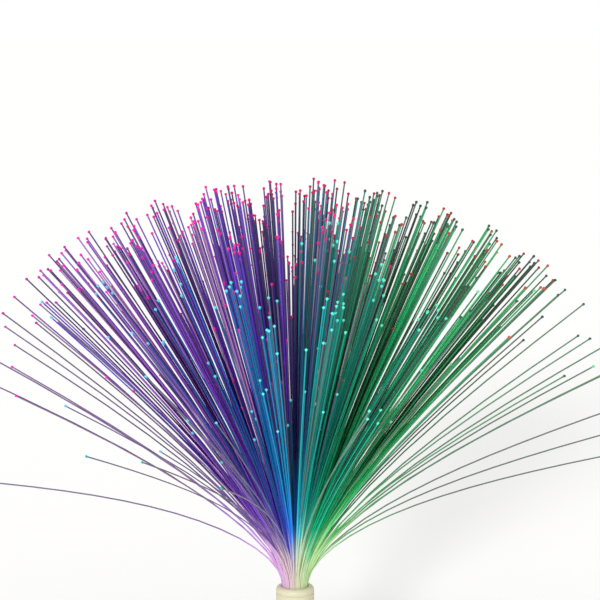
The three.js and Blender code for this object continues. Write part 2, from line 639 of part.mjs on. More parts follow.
addPiece('control_board', controlBoard(), board);
for (const side of [1, -1]) {
  addPiece(`control_board_screw_${side > 0 ? 1 : 2}`, screwFromAbove(BOARD_SCREW_LENGTH), steel,
    side * postX, side * postY, boardTop + SEAT_GAP);
}
const partRing = PART_RING_SHARE * BOARD_RADIUS;
addPiece('driver_chip', block(-CHIP_HALF_LENGTH, -CHIP_HALF_WIDTH, 0, CHIP_HALF_LENGTH, CHIP_HALF_WIDTH,
  CHIP_HEIGHT), black, partRing * Math.cos(CHIP_ANGLE), partRing * Math.sin(CHIP_ANGLE),
boardTop + SEAT_GAP, CHIP_ANGLE);
addPiece('driver_capacitor', rod(CAPACITOR_RADIUS, 0, CAPACITOR_HEIGHT, CELL_SIDES), aluminium,
  partRing * Math.cos(CAPACITOR_ANGLE), partRing * Math.sin(CAPACITOR_ANGLE), boardTop + SEAT_GAP);

// The light: an emitter on a star-shaped metal board, under a lens that stands in a black holder
const STAR_RADIUS = 9;
const STAR_NOTCH_SHARE = 0.84;
const STAR_POINTS = 6;
const EMITTER_RADIUS = 2.4;
const EMITTER_HEIGHT = 1.8;
const EMITTER_DOME = 1;
const LENS_FLANGE = 1.3;
const LENS_FLANGE_THICKNESS = 1;
const LENS_FOOT_RADIUS = 4.4;
const LENS_SIDES = 20;
const HOLDER_WALL = 1;
const lensRadius = LENS_TOP_DIAMETER / 2;
const cavityRadius = EMITTER_RADIUS + SEAT_GAP;
const cavityTop = lensBottom + EMITTER_HEIGHT + SEAT_GAP;
const flangeBottom = lensTop - LENS_FLANGE_THICKNESS;
const holderBore = lensRadius + SEAT_GAP;

function ledStar() {
  const corners = circle(STAR_RADIUS, 2 * STAR_POINTS).map(([x, y], i) => (
    i % 2 ? [x * STAR_NOTCH_SHARE, y * STAR_NOTCH_SHARE] : [x, y]));
  return raised(corners, starBottom, starTop);
}

function ledEmitter() {
  return turned([
    [0, lensBottom],
    [EMITTER_RADIUS, lensBottom],
    ...arc(0, lensBottom + EMITTER_HEIGHT - EMITTER_DOME, EMITTER_RADIUS, EMITTER_DOME,
      0, QUARTER_TURN, FILLET_STEPS).slice(0, FILLET_STEPS),
    [0, lensBottom + EMITTER_HEIGHT],
  ], CELL_SIDES);
}

function ledLens() {
  return turned([
    [0, cavityTop],
    [cavityRadius, cavityTop],
    [cavityRadius, lensBottom],
    [LENS_FOOT_RADIUS, lensBottom],
    [lensRadius, flangeBottom],
    [lensRadius + LENS_FLANGE, flangeBottom],
    [lensRadius + LENS_FLANGE, lensTop],
    [0, lensTop],
  ], LENS_SIDES);
}

function lensHolder() {
  const top = flangeBottom - SEAT_GAP;
  return turned([
    [holderBore, lensBottom],
    [holderBore + HOLDER_WALL, lensBottom],
    [holderBore + HOLDER_WALL, top],
    [holderBore, top],
  ], LENS_SIDES);
}

addPiece('led_star_board', ledStar(), aluminium);
addPiece('led_emitter', ledEmitter(), white);
addPiece('led_lens', ledLens(), clear);
addPiece('led_lens_holder', lensHolder(), black);

// The colour wheel: a toothed rim on a spoked hub, with a coloured filter over each window
const SPOKE_COUNT = 4;
const SPOKE_HALF_WIDTH = 1.1;
const HUB_RADIUS = 4.4;
const WINDOW_STEPS = 6;
const TOOTH_ROOT_SHARE = 0.6;
const TOOTH_PITCH_SHARE = 0.475;
const TOOTH_TIP_SHARE = 0.22;
const FILTER_LAP = 1;
const POST_OUTER_RADIUS = 3.6;
const POST_FLANGE_RADIUS = 5;
const POST_FLANGE_HEIGHT = 1.6;
const CLIP_THICKNESS = 0.6;
const CLIP_RADIUS = 3;
const CLIP_MOUTH_SHARE = 0.16;
const GROOVE_DEPTH = 0.45;
const AXLE_END = 0.5;

/** The outline of a gear with straight-sided teeth; the first tooth points along a given direction. */
function gearOutline(teeth, pitchRadius, firstTooth) {
  const step = FULL_TURN / teeth;
  const rootRadius = pitchRadius - DEDENDUM_SHARE * gearModule;
  const radii = [rootRadius, pitchRadius, pitchRadius + ADDENDUM_SHARE * gearModule];
  const shares = [TOOTH_ROOT_SHARE, TOOTH_PITCH_SHARE, TOOTH_TIP_SHARE];
  const flank = radii.map((radius, i) => [radius, shares[i] * step / 2]);
  const tooth = [...flank.map(([radius, half]) => [radius, -half]),
    ...flank.reverse().map(([radius, half]) => [radius, half])];
  return Array.from({ length: teeth }, (_, i) => tooth.map(([radius, turn]) => {
    const angle = firstTooth + i * step + turn;
    return [radius * Math.cos(angle), radius * Math.sin(angle)];
  })).flat();
}

/** A sector of a ring whose straight sides keep a given distance from the radii at its two angles. */
function sector(inner, outer, start, end, margin, steps) {
  const outerInset = Math.asin(margin / outer);
  const innerInset = Math.asin(margin / inner);
  return [
    ...arc(0, 0, outer, outer, start + outerInset, end - outerInset, steps),
    ...arc(0, 0, inner, inner, end - innerInset, start + innerInset, steps / 2),
  ];
}

const colourEdge = COLOUR_AXIS_ANGLE + Math.PI;
const windowAngle = FULL_TURN / SPOKE_COUNT;
const windowInside = HUB_RADIUS + SEAT_GAP;

function colourWheel() {
  const holes = Array.from({ length: SPOKE_COUNT }, (_, i) => sector(windowInside, rimInside,
    colourEdge + i * windowAngle, colourEdge + (i + 1) * windowAngle, SPOKE_HALF_WIDTH, WINDOW_STEPS));
  holes.push(circle(AXLE_RADIUS + RUNNING_GAP, BOSS_SIDES));
  return raised(gearOutline(WHEEL_TEETH, wheelPitchRadius, MOTOR_ANGLE), wheelBottom, wheelTop, holes);
}

/** A filter sheet from the hub's edge to the rim, between two of the wheel's spokes. */
function colourFilter(index) {
  const start = colourEdge + index * windowAngle;
  return raised(sector(windowInside, rimInside + FILTER_LAP, start, start + windowAngle, SEAT_GAP / 2,
    WINDOW_STEPS), filterBottom, filterTop);
}

function wheelPost() {
  const bore = AXLE_RADIUS + SEAT_GAP;
  const bottom = boardTop + SEAT_GAP;
  const top = wheelBottom - SEAT_GAP;
  return turned([
    [bore, bottom],
    [POST_FLANGE_RADIUS, bottom],
    [POST_FLANGE_RADIUS, bottom + POST_FLANGE_HEIGHT],
    [POST_OUTER_RADIUS, bottom + POST_FLANGE_HEIGHT],
    [POST_OUTER_RADIUS, top],
    [bore, top],
  ], BOSS_SIDES);
}

const clipBottom = wheelTop + SEAT_GAP;
const clipTop = clipBottom + CLIP_THICKNESS;

function wheelAxle() {
  const groove = AXLE_RADIUS - GROOVE_DEPTH;
  return turned([
    [0, boardBottom],
    [AXLE_RADIUS, boardBottom],
    [AXLE_RADIUS, wheelTop],
    [groove, wheelTop],
    [groove, clipTop + SEAT_GAP],
    [AXLE_RADIUS, clipTop + SEAT_GAP],
    [AXLE_RADIUS, clipTop + SEAT_GAP + AXLE_END],
    [0, clipTop + SEAT_GAP + AXLE_END],
  ], BOSS_SIDES);
}

function axleClip() {
  const bore = AXLE_RADIUS - GROOVE_DEPTH + SEAT_GAP / 2;
  const mouth = CLIP_MOUTH_SHARE * FULL_TURN;
  const outline = [
    ...arc(0, 0, CLIP_RADIUS, CLIP_RADIUS, mouth / 2, FULL_TURN - mouth / 2, CELL_SIDES),
    ...arc(0, 0, bore, bore, FULL_TURN - mouth / 2, mouth / 2, CELL_SIDES),
  ];
  return raised(outline, clipBottom, clipTop);
}

addPiece('colour_wheel', colourWheel(), white, wheelX, wheelY);
[['violet', violet], ['green', green], ['teal', teal], ['blue', blue]].forEach(([name, finish], i) => {
  const index = (i + SPOKE_COUNT - 1) % SPOKE_COUNT;
  addPiece(`colour_filter_${name}`, colourFilter(index), finish, wheelX, wheelY);
});
addPiece('wheel_post', wheelPost(), black, wheelX, wheelY);
addPiece('wheel_axle', wheelAxle(), steel, wheelX, wheelY);
addPiece('axle_clip', axleClip(), steel, wheelX, wheelY);

// Gear motor: a flat can with two ears screwed to the control board, its shaft up through the pinion
const SHAFT_RADIUS = 1;
const SHAFT_FLAT_SIDES = 8;
const MOTOR_CHAMFER = 0.6;
const MOTOR_BOSS_RADIUS = 3;
const MOTOR_BOSS_HEIGHT = 1;
const PINION_COLLAR_RADIUS = 3;
const MOTOR_LEAD_SPACING = 5;
const MOTOR_SCREW_LENGTH = 2.8;
const motorBottom = boardTop + SEAT_GAP;
const motorTop = motorBottom + MOTOR_HEIGHT;

function gearMotor() {
  const radius = MOTOR_DIAMETER / 2;
  let can = turned([
    [0, motorBottom],
    [radius, motorBottom],
    [radius, motorTop - MOTOR_CHAMFER],
    [radius - MOTOR_CHAMFER, motorTop],
    [MOTOR_BOSS_RADIUS, motorTop],
    [MOTOR_BOSS_RADIUS, motorTop + MOTOR_BOSS_HEIGHT],
    [0, motorTop + MOTOR_BOSS_HEIGHT],
  ], LENS_SIDES);
  for (const [x, y] of earPlaces) {
    const ear = rod(MOTOR_EAR_RADIUS, motorBottom, motorBottom + MOTOR_EAR_THICKNESS, BOSS_SIDES,
      x - motorX, y - motorY);
    can = can.add(ear).subtract(rod(SCREW_HOLE_RADIUS, motorBottom - CUT_OVERRUN,
      motorBottom + MOTOR_EAR_THICKNESS + CUT_OVERRUN, SCREW_SIDES, x - motorX, y - motorY));
  }
  return can.subtract(rod(SHAFT_RADIUS + RUNNING_GAP, motorTop - CUT_OVERRUN,
    motorTop + MOTOR_BOSS_HEIGHT + CUT_OVERRUN, SHAFT_FLAT_SIDES));
}

/** The pinion and the motor's output shaft, which it is pressed on. */
function motorPinion() {
  const gapAngle = MOTOR_ANGLE + Math.PI + Math.PI / PINION_TEETH;
  const teeth = raised(gearOutline(PINION_TEETH, pinionPitchRadius, gapAngle), wheelBottom, wheelTop);
  const sleeveBottom = motorTop + MOTOR_BOSS_HEIGHT + RUNNING_GAP;
  const sleeve = rod(PINION_COLLAR_RADIUS, sleeveBottom, wheelBottom + SEAT_GAP, BOSS_SIDES);
  const shaft = rod(SHAFT_RADIUS, motorTop - CUT_OVERRUN + RUNNING_GAP, wheelTop + AXLE_END,
    SHAFT_FLAT_SIDES);
  return teeth.add(sleeve).add(shaft);
}

addPiece('gear_motor', gearMotor(), steel, motorX, motorY);
addPiece('motor_pinion', motorPinion(), white, motorX, motorY);
earPlaces.forEach(([x, y], i) => {
  addPiece(`motor_screw_${i + 1}`, screwFromAbove(MOTOR_SCREW_LENGTH), steel, x, y,
    motorBottom + MOTOR_EAR_THICKNESS + SEAT_GAP);
});

// Leads on the board: two to the motor's terminals, which face the lamp's axis, and two to the star board
const LEAD_HOP = 3.5;
const MOTOR_LEAD_HOP = 2;
const motorLeadHeight = motorBottom + MOTOR_HEIGHT / 2;
for (const side of [1, -1]) {
  const number = side > 0 ? 1 : 2;
  const finish = side > 0 ? red : black;
  const offset = side * MOTOR_LEAD_SPACING / 2;
  const canSide = Math.sqrt((MOTOR_DIAMETER / 2) ** 2 - (MOTOR_LEAD_SPACING / 2) ** 2);
  const terminal = -canSide - LEAD_RADIUS - SEAT_GAP;
  addPiece(`motor_lead_${number}`, lead([terminal, offset, motorLeadHeight],
    [terminal - MOTOR_LEAD_HOP, offset, motorLeadHeight],
    [terminal - MOTOR_LEAD_HOP, offset, boardTop + SEAT_GAP]), finish, motorX, motorY, 0, motorBearing);
  const starSide = side * (STAR_RADIUS - LEAD_RADIUS - SEAT_GAP);
  const landing = side * (STAR_RADIUS + LEAD_HOP);
  addPiece(`led_lead_${number}`, lead([starSide, -LEAD_HOP, starTop + SEAT_GAP],
    [(starSide + landing) / 2, -LEAD_HOP, starTop + 2 * LEAD_HOP], [landing, -LEAD_HOP, boardTop + SEAT_GAP]),
  finish);
}

// The spray's collar: a ring with a rounded top on a spigot with a key
const COLLAR_STEPS = 4;
const COLLAR_FOOT_CHAMFER = 0.5;
const collarRadius = COLLAR_DIAMETER / 2;

function sprayCollar() {
  const roundCentre = collarRadius - COLLAR_CORNER_RADIUS;
  const spigot = turned([
    [collarBore, bundleBottom],
    [spigotRadius - COLLAR_FOOT_CHAMFER, bundleBottom],
    [spigotRadius, bundleBottom + COLLAR_FOOT_CHAMFER],
    [spigotRadius, collarBottom],
    [collarRadius - COLLAR_FOOT_CHAMFER, collarBottom],
    [collarRadius, collarBottom + COLLAR_FOOT_CHAMFER],
    ...arc(roundCentre, collarTop - COLLAR_CORNER_RADIUS, COLLAR_CORNER_RADIUS, COLLAR_CORNER_RADIUS,
      0, QUARTER_TURN, COLLAR_STEPS),
    [collarBore, collarTop],
  ], SHELL_SEGMENTS);
  return spigot.add(block(-keyHalfWidth, spigotRadius - COLLAR_FOOT_CHAMFER, bundleBottom + SOCKET_LIFT,
    keyHalfWidth, spigotRadius + KEY_DEPTH, collarBottom + COLLAR_FOOT_CHAMFER));
}

addPiece('spray_collar', sprayCollar(), cream);

// The fibres. Their roots stand in columns across the bonded bundle, and a root's place gives its strand's way:
// a strand from the middle goes straight up, and one from the edge leans out the furthest. Every strand bends
// in two stages, part of it close to the root and the rest all the way out. Neighbours lean together in tufts,
// and between them some strands stand alone, which lean out further.
const ROOT_BEND_SHARE = 0.5;
const ROOT_MARGIN = 0.02;
const STRAND_SIDES = 3;
const BEND_SAMPLES = 60;
const TUFT_COUNT = 72;
const TUFT_PULL_SHARE = 0.72;
const LONE_EVERY = 6;
const LEAN_POWER = 1.1;
const JITTER_SHARE = 0.2;
const LONE_JITTER_SHARE = 0.3;
const LENGTH_SPREAD_SHARE = 0.03;
const STATION_SHARES = [0.06, 0.3];
const LOOSE_STATION_SHARES = [0.04, 0.12, 0.3, 0.6];
const PLAIN_TIP_EVERY = 3;
const SLAB_CUT_SHARES = [-1, -0.4, 0, 0.4, 1];
const SLICE_STEPS = 8;
const LOOSE_REACH_SHARE = 0.86;
const strandRadius = FIBRE_THICKNESS / 2;
const rootReach = bundleRadius - strandRadius - ROOT_MARGIN;
const columnInset = strandRadius + SEAT_GAP / 2 + ROOT_MARGIN;
const columnPitch = FIBRE_PITCH * Math.sin(Math.PI / 3);

/**
 * Strands that hang away from the rest: their way from above and their lean from upright, in degrees, and the
 * share of a fibre's length that they keep.
 */
const LOOSE_STRANDS = [
  { way: 180, lean: 88, kept: 0.943 }, { way: 239, lean: 71, kept: 1 }, { way: 252, lean: 71, kept: 1 },
  { way: 259, lean: 74, kept: 1 }, { way: 350, lean: 78, kept: 1 }, { way: 350, lean: 74, kept: 1 },
  { way: 350, lean: 71, kept: 1 }, { way: 0, lean: 66, kept: 1 }, { way: 100, lean: 74, kept: 1 },
];

/** A repeatable value from -1 to 1 for a number. */
function scatter(number) {
  const wave = Math.sin(number * GOLDEN_ANGLE * Math.PI) * (FULL_TURN ** 5);
  return 2 * (wave - Math.floor(wave)) - 1;
}

/** The share of its lean that a strand has reached at a distance from its root. */
function leanShare(distance) {
  const near = 1 - Math.exp(-distance / ROOT_BEND_LENGTH);
  const far = 1 - Math.exp(-distance / FAR_BEND_LENGTH);
  return ROOT_BEND_SHARE * near + (1 - ROOT_BEND_SHARE) * far;
}

/** The roots of one slab's strands, in evenly filled columns. */
function slabRoots(slab) {
  const start = Math.max(SLAB_CUT_SHARES[slab] * bundleRadius + columnInset, -rootReach);
  const end = Math.min(SLAB_CUT_SHARES[slab + 1] * bundleRadius - columnInset, rootReach);
  const columns = Math.floor((end - start) / columnPitch);
  return Array.from({ length: columns + 1 }, (_, column) => {
    const x = start + (end - start) * column / columns;
    const half = Math.sqrt(Math.max(rootReach ** 2 - x ** 2, 0));
    const rows = Math.floor(2 * half / FIBRE_PITCH);
    return Array.from({ length: rows + 1 }, (_, row) => [x, rows ? half * (2 * row / rows - 1) : 0]);
  }).flat();
}

const tufts = Array.from({ length: TUFT_COUNT }, (_, i) => {
  const radius = Math.sqrt((i + 1 / 2) / TUFT_COUNT);
  return [radius * Math.cos(i * GOLDEN_ANGLE), radius * Math.sin(i * GOLDEN_ANGLE)];
});

/** Where a root's strand leans, in the unit circle: near the middle of its tuft unless it stands alone. */
function leaning(x, y, number, isAlone) {
  const pull = isAlone ? 0 : TUFT_PULL_SHARE;
  const jitter = (isAlone ? LONE_JITTER_SHARE : JITTER_SHARE) * FIBRE_PITCH / rootReach;
  const [u, v] = [x / rootReach, y / rootReach];
  const [tuftU, tuftV] = tufts.reduce((best, tuft) => (
    Math.hypot(tuft[0] - u, tuft[1] - v) < Math.hypot(best[0] - u, best[1] - v) ? tuft : best));
  return [
    u + pull * (tuftU - u) + jitter * scatter(number),
    v + pull * (tuftV - v) + jitter * scatter(number + 1 / 2),
  ];
}

const strands = SLAB_CUT_SHARES.slice(1).map((_, slab) => slabRoots(slab).map(([x, y], i) => {
  const number = i * SLAB_CUT_SHARES.length + slab;
  const isAlone = number % LONE_EVERY === 0;
  const [u, v] = leaning(x, y, number, isAlone);
  return {
    x,
    y,
    way: Math.atan2(v, u),
    lean: (isAlone ? LONE_SPREAD_ANGLE : SPREAD_ANGLE) * Math.min(Math.hypot(u, v), 1) ** LEAN_POWER,
    length: FIBRE_LENGTH * (1 - LENGTH_SPREAD_SHARE * (1 + scatter(number + 1 / 4)) / 2),
    beaded: i % PLAIN_TIP_EVERY !== 0,
    stations: STATION_SHARES,
  };
}));

/** Picks the outermost root nearest to each loose strand's way, and lets that strand hang. */
function loosen() {
  const rimReach = LOOSE_REACH_SHARE * rootReach;
  const rim = strands.flat().filter((strand) => Math.hypot(strand.x, strand.y) > rimReach);
  for (const loose of LOOSE_STRANDS) {
    const way = THREE.MathUtils.degToRad(loose.way);
    const offAxis = (strand) => Math.hypot(strand.x - rootReach * Math.cos(way),
      strand.y - rootReach * Math.sin(way));
    const chosen = rim.reduce((best, strand) => (offAxis(strand) < offAxis(best) ? strand : best));
    rim.splice(rim.indexOf(chosen), 1);
    chosen.way = Math.atan2(chosen.y, chosen.x);
    chosen.lean = THREE.MathUtils.degToRad(loose.lean);
    chosen.length = loose.kept * FIBRE_LENGTH;
    chosen.stations = LOOSE_STATION_SHARES;
    chosen.beaded = true;
  }
}

loosen();

/** Points and directions along a strand, from the bundle's top to its tip, with its radius at each. */
function strandStations(strand) {
  const distances = [...strand.stations.map((share) => share * strand.length), strand.length];
  if (strand.beaded) distances.splice(-1, 0, strand.length - TIP_BEAD_LENGTH);
  const tipRadius = strand.beaded ? TIP_BEAD_DIAMETER / 2 : strandRadius;
  const point = new THREE.Vector3(strand.x, strand.y, bundleTop);
  const stations = [{ at: point.clone(), along: new THREE.Vector3(0, 0, 1), radius: strandRadius }];
  let travelled = 0;
  for (const distance of distances) {
    const step = (distance - travelled) / BEND_SAMPLES;
    let along = null;
    for (let i = 0; i < BEND_SAMPLES; i++) {
      const lean = strand.lean * leanShare(travelled + (i + 1 / 2) * step);
      along = new THREE.Vector3(Math.sin(lean) * Math.cos(strand.way), Math.sin(lean) * Math.sin(strand.way),
        Math.cos(lean));
      point.addScaledVector(along, step);
    }
    travelled = distance;
    const radius = distance === strand.length ? tipRadius : strandRadius;
    stations.push({ at: point.clone(), along, radius });
  }
  return stations;
}

/** The corners of a strand's triangle at each of its stations. */
function strandRings(strand) {
  const upright = new THREE.Vector3(0, 0, 1);
  return strandStations(strand).map(({ at, along, radius }) => {
    const turn = new THREE.Quaternion().setFromUnitVectors(upright, along);
    return circle(radius, STRAND_SIDES).map(([x, y]) => (
      new THREE.Vector3(x, y, 0).applyQuaternion(turn).add(at).toArray()));
  });
}

/** The triangles between two rings of as many corners. */
function wallBetween(below, above) {
  return below.flatMap((corner, side) => {
    const next = (side + 1) % below.length;
    return [corner, below[next], above[next], corner, above[next], above[side]];
  });
}

/** The outline of one slice of the bonded bundle, between two planes across X, anticlockwise from above. */
function sliceOutline(slab) {
  const low = Math.max(SLAB_CUT_SHARES[slab] * bundleRadius + SEAT_GAP / 2, -bundleRadius);
  const high = Math.min(SLAB_CUT_SHARES[slab + 1] * bundleRadius - SEAT_GAP / 2, bundleRadius);
  const isRight = slab === SLAB_CUT_SHARES.length - 2;
  const [lowTurn, highTurn] = [slab ? Math.acos(low / bundleRadius) : Math.PI,
    isRight ? 0 : Math.acos(high / bundleRadius)];
  const rear = arc(0, 0, bundleRadius, bundleRadius, highTurn, lowTurn, SLICE_STEPS);
  const front = arc(0, 0, bundleRadius, bundleRadius, FULL_TURN - lowTurn, FULL_TURN - highTurn, SLICE_STEPS);
  return [...rear, ...front.slice(slab ? 0 : 1, isRight ? -1 : front.length)];
}

/** A slice of the bonded bundle with its strands standing on it, as one closed solid. */
function fibreSlice(slab) {
  const outline = sliceOutline(slab);
  const at = (height) => outline.map(([x, y]) => [x, y, height]);
  const rings = strands[slab].map(strandRings);
  const flat = (corners) => corners.map(([x, y]) => new THREE.Vector2(x, y));
  const roots = rings.map((strand) => strand[0]);
  const topCorners = [...at(bundleTop), ...roots.flat()];
  const top = THREE.ShapeUtils.triangulateShape(flat(outline), roots.map((root) => flat(root).reverse()));
  const bottom = THREE.ShapeUtils.triangulateShape(flat(outline), []);
  const turnedOver = (index) => {
    const inRoots = index - outline.length;
    if (inRoots < 0) return index;
    const root = Math.floor(inRoots / STRAND_SIDES);
    return outline.length + root * STRAND_SIDES + (STRAND_SIDES - 1 - inRoots % STRAND_SIDES);
  };
  const positions = [
    ...top.flat().map((index) => topCorners[turnedOver(index)]),
    ...bottom.flatMap(([a, b, c]) => [c, b, a].map((index) => at(bundleBottom)[index])),
    ...wallBetween(at(bundleBottom), at(bundleTop)),
    ...rings.flatMap((strand) => [
      ...strand.slice(1).flatMap((ring, i) => wallBetween(strand[i], ring)),
      ...strand[strand.length - 1],
    ]),
  ];
  const geometry = new THREE.BufferGeometry();
  geometry.setAttribute('position', new THREE.Float32BufferAttribute(positions.flat(), 3));
  return solidOf(geometry);
}

[['violet', violet], ['blue', blue], ['teal', teal], ['green', green]].forEach(([name, finish], slab) => {
  addPiece(`fibres_${name}`, fibreSlice(slab), finish);
});

export default lamp;
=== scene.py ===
"""A lit, battery-powered fibre optic lamp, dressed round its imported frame.

Every length is in metres, in the frame's own axes: +Z up along the lamp's axis, +X to the right as seen
from the front, +Y to the rear. Each class below builds one sub-assembly of the lamp and dresses it.
"""

import json
import logging
import math
from collections.abc import Iterator
from contextlib import contextmanager
from dataclasses import dataclass, field
from enum import Enum
from functools import cache

import bpy
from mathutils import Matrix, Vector

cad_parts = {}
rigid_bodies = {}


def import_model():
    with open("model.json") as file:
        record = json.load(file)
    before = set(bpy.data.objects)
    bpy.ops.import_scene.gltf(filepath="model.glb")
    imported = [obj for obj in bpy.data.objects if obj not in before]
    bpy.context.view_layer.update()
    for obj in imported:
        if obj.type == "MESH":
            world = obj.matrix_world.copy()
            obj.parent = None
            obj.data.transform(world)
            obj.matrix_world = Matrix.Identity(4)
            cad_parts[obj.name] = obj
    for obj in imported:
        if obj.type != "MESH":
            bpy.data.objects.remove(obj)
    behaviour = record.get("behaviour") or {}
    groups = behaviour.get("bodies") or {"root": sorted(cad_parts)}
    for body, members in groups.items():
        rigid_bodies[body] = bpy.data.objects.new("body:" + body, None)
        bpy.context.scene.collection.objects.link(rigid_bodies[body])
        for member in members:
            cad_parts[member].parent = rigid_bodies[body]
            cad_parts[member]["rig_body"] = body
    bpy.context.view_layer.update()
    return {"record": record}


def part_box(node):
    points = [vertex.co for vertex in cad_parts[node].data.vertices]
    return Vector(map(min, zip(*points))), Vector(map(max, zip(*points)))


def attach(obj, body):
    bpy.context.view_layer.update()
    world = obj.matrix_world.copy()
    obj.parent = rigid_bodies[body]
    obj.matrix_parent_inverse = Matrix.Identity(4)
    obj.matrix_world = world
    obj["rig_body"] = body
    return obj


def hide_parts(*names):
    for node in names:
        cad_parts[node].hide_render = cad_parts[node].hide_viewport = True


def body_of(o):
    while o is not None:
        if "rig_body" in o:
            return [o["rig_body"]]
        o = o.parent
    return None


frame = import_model()

log = logging.getLogger("lamp")

MM = 0.001
QUARTER_TURN = math.pi / 2
HALF_TURN = math.pi
FULL_TURN = 2 * math.pi
GOLDEN_ANGLE = math.pi * (3 - math.sqrt(5))
SMOOTH_ANGLE = math.radians(35)
WELD_REACH = 1e-6
OVERRUN = 2 * MM
PIN_SIDES = 32
SCREW_HOLE_RADIUS = 1.5 * MM
PLATE_THICKNESS = 3 * MM
BAY_HALF_WIDTH = 22.75 * MM
BAY_HALF_LENGTH = 27.75 * MM
WHITE = (1, 1, 1, 1)

Piece = bpy.types.Object
Material = bpy.types.Material
Tree = bpy.types.NodeTree
Node = bpy.types.Node
Pair = tuple[float, float]
Place = tuple[float, float]
Triple = tuple[float, float, float]
Colour = tuple[float, float, float]
Profile = list[Place]
Stops = tuple[tuple[float, Colour], ...]


class Body(Enum):
    """The rigid bodies of the frame that new pieces ride on."""

    BASE = "base"
    SPRAY = "spray"
    DOOR = "battery_door"
    DOOR_SCREW = "door_screw"
    SLIDER = "switch_slider"
    WHEEL = "colour_wheel"
    PINION = "motor_pinion"


# Tools for modelling


def make_active(piece: Piece) -> None:
    """Selects one object alone and makes it the active one."""
    bpy.ops.object.select_all(action="DESELECT")
    piece.select_set(True)
    bpy.context.view_layer.objects.active = piece


@contextmanager
def editing(piece: Piece) -> Iterator[None]:
    """Opens a piece's whole mesh for editing, and closes it again."""
    make_active(piece)
    bpy.ops.object.mode_set(mode="EDIT")
    bpy.ops.mesh.select_all(action="SELECT")
    yield
    bpy.ops.object.mode_set(mode="OBJECT")


def linked(name: str, data: bpy.types.ID) -> Piece:
    """Adds an object to the scene for a mesh, a curve, a camera or a light."""
    piece = bpy.data.objects.new(name, data)
    bpy.context.scene.collection.objects.link(piece)
    return piece


def discard(piece: Piece) -> None:
    """Deletes an object."""
    bpy.data.objects.remove(piece, do_unlink=True)


def apply_modifier(piece: Piece, kind: str, **settings: object) -> None:
    """Adds a modifier to a piece, sets it and applies it.

    Args:
        piece: The object to change.
        kind: The modifier's type, such as BEVEL.
        settings: The modifier's own settings.
    """
    make_active(piece)
    modifier = piece.modifiers.new(kind.lower(), kind)
    for name, value in settings.items():
        setattr(modifier, name, value)
    bpy.ops.object.modifier_apply(modifier=modifier.name)


def smooth(piece: Piece, angle: float = SMOOTH_ANGLE) -> None:
    """Shades a piece smooth but for edges sharper than an angle."""
    make_active(piece)
    bpy.ops.object.shade_smooth_by_angle(angle=angle)


def soften(piece: Piece, width: float, segments: int = 2) -> None:
    """Rounds a piece's sharp edges, with some segments across each."""
    apply_modifier(piece, "BEVEL", width=width, segments=segments, limit_method="ANGLE",
                   angle_limit=SMOOTH_ANGLE)


def combine(piece: Piece, other: Piece, operation: str) -> None:
    """Joins, cuts or trims a piece with another object, which is then deleted."""
    apply_modifier(piece, "BOOLEAN", operation=operation, object=other, solver="EXACT")
    discard(other)


def weld(piece: Piece, other: Piece) -> None:
    """Makes another form one with a piece."""
    combine(piece, other, "UNION")


def cut(piece: Piece, tool: Piece) -> None:
    """Takes a tool's form out of a piece."""
    combine(piece, tool, "DIFFERENCE")


def bake_place(piece: Piece) -> None:
    """Puts a piece's place into its mesh, so that its object stands at the origin."""
    make_active(piece)
    bpy.ops.object.transform_apply(location=True, rotation=True, scale=True)


def settled(name: str) -> Piece:
    """Names the form that was just added and bakes its place."""
    piece = bpy.context.object
    piece.name = name
    bake_place(piece)
    return piece


def block(name: str, low: Triple, high: Triple) -> Piece:
    """Adds a block between its lowest and its highest corner, as a start for a piece."""
    bpy.ops.mesh.primitive_cube_add(size=1, location=[(a + b) / 2 for a, b in zip(low, high)])
    bpy.context.object.scale = [b - a for a, b in zip(low, high)]
    return settled(name)


def middle_block(name: str, half_width: float, low: Place, high: Place) -> Piece:
    """Adds a block that lies evenly about the lamp's middle plane, between two corners in Y and Z."""
    return block(name, (-half_width, *low), (half_width, *high))


def rod(name: str, radius: float, low: float, high: float, place: Place, sides: int = 48,
        lies: bool = False) -> Piece:
    """Adds a rod, as a start for a piece.

    Args:
        name: The new piece's name.
        radius: Its radius.
        low: Where it starts along its own axis.
        high: Where it ends.
        place: Where it stands in X and Y, or lies in Y and Z.
        sides: How many sides it has.
        lies: Whether it lies along X instead of standing up.

    Returns:
        The new piece.
    """
    middle = (low + high) / 2
    bpy.ops.mesh.primitive_cylinder_add(
        vertices=sides, radius=radius, depth=high - low, rotation=(0, QUARTER_TURN if lies else 0, 0),
        location=(middle, *place) if lies else (*place, middle))
    return settled(name)


def copied(piece: Piece, name: str, place: Triple = (0, 0, 0), turn: float = 0.0) -> Piece:
    """Copies a piece with a mesh of its own.

    Args:
        piece: The object to copy, which stands at the origin.
        name: The copy's name.
        place: How far the copy is moved.
        turn: How far it is turned about X before that.

    Returns:
        The copy, with its place in its mesh.
    """
    twin = piece.copy()
    twin.data = piece.data.copy()
    twin.name = name
    twin.parent = None
    twin.rotation_euler = (turn, 0, 0)
    twin.location = place
    bpy.context.scene.collection.objects.link(twin)
    bake_place(twin)
    return twin


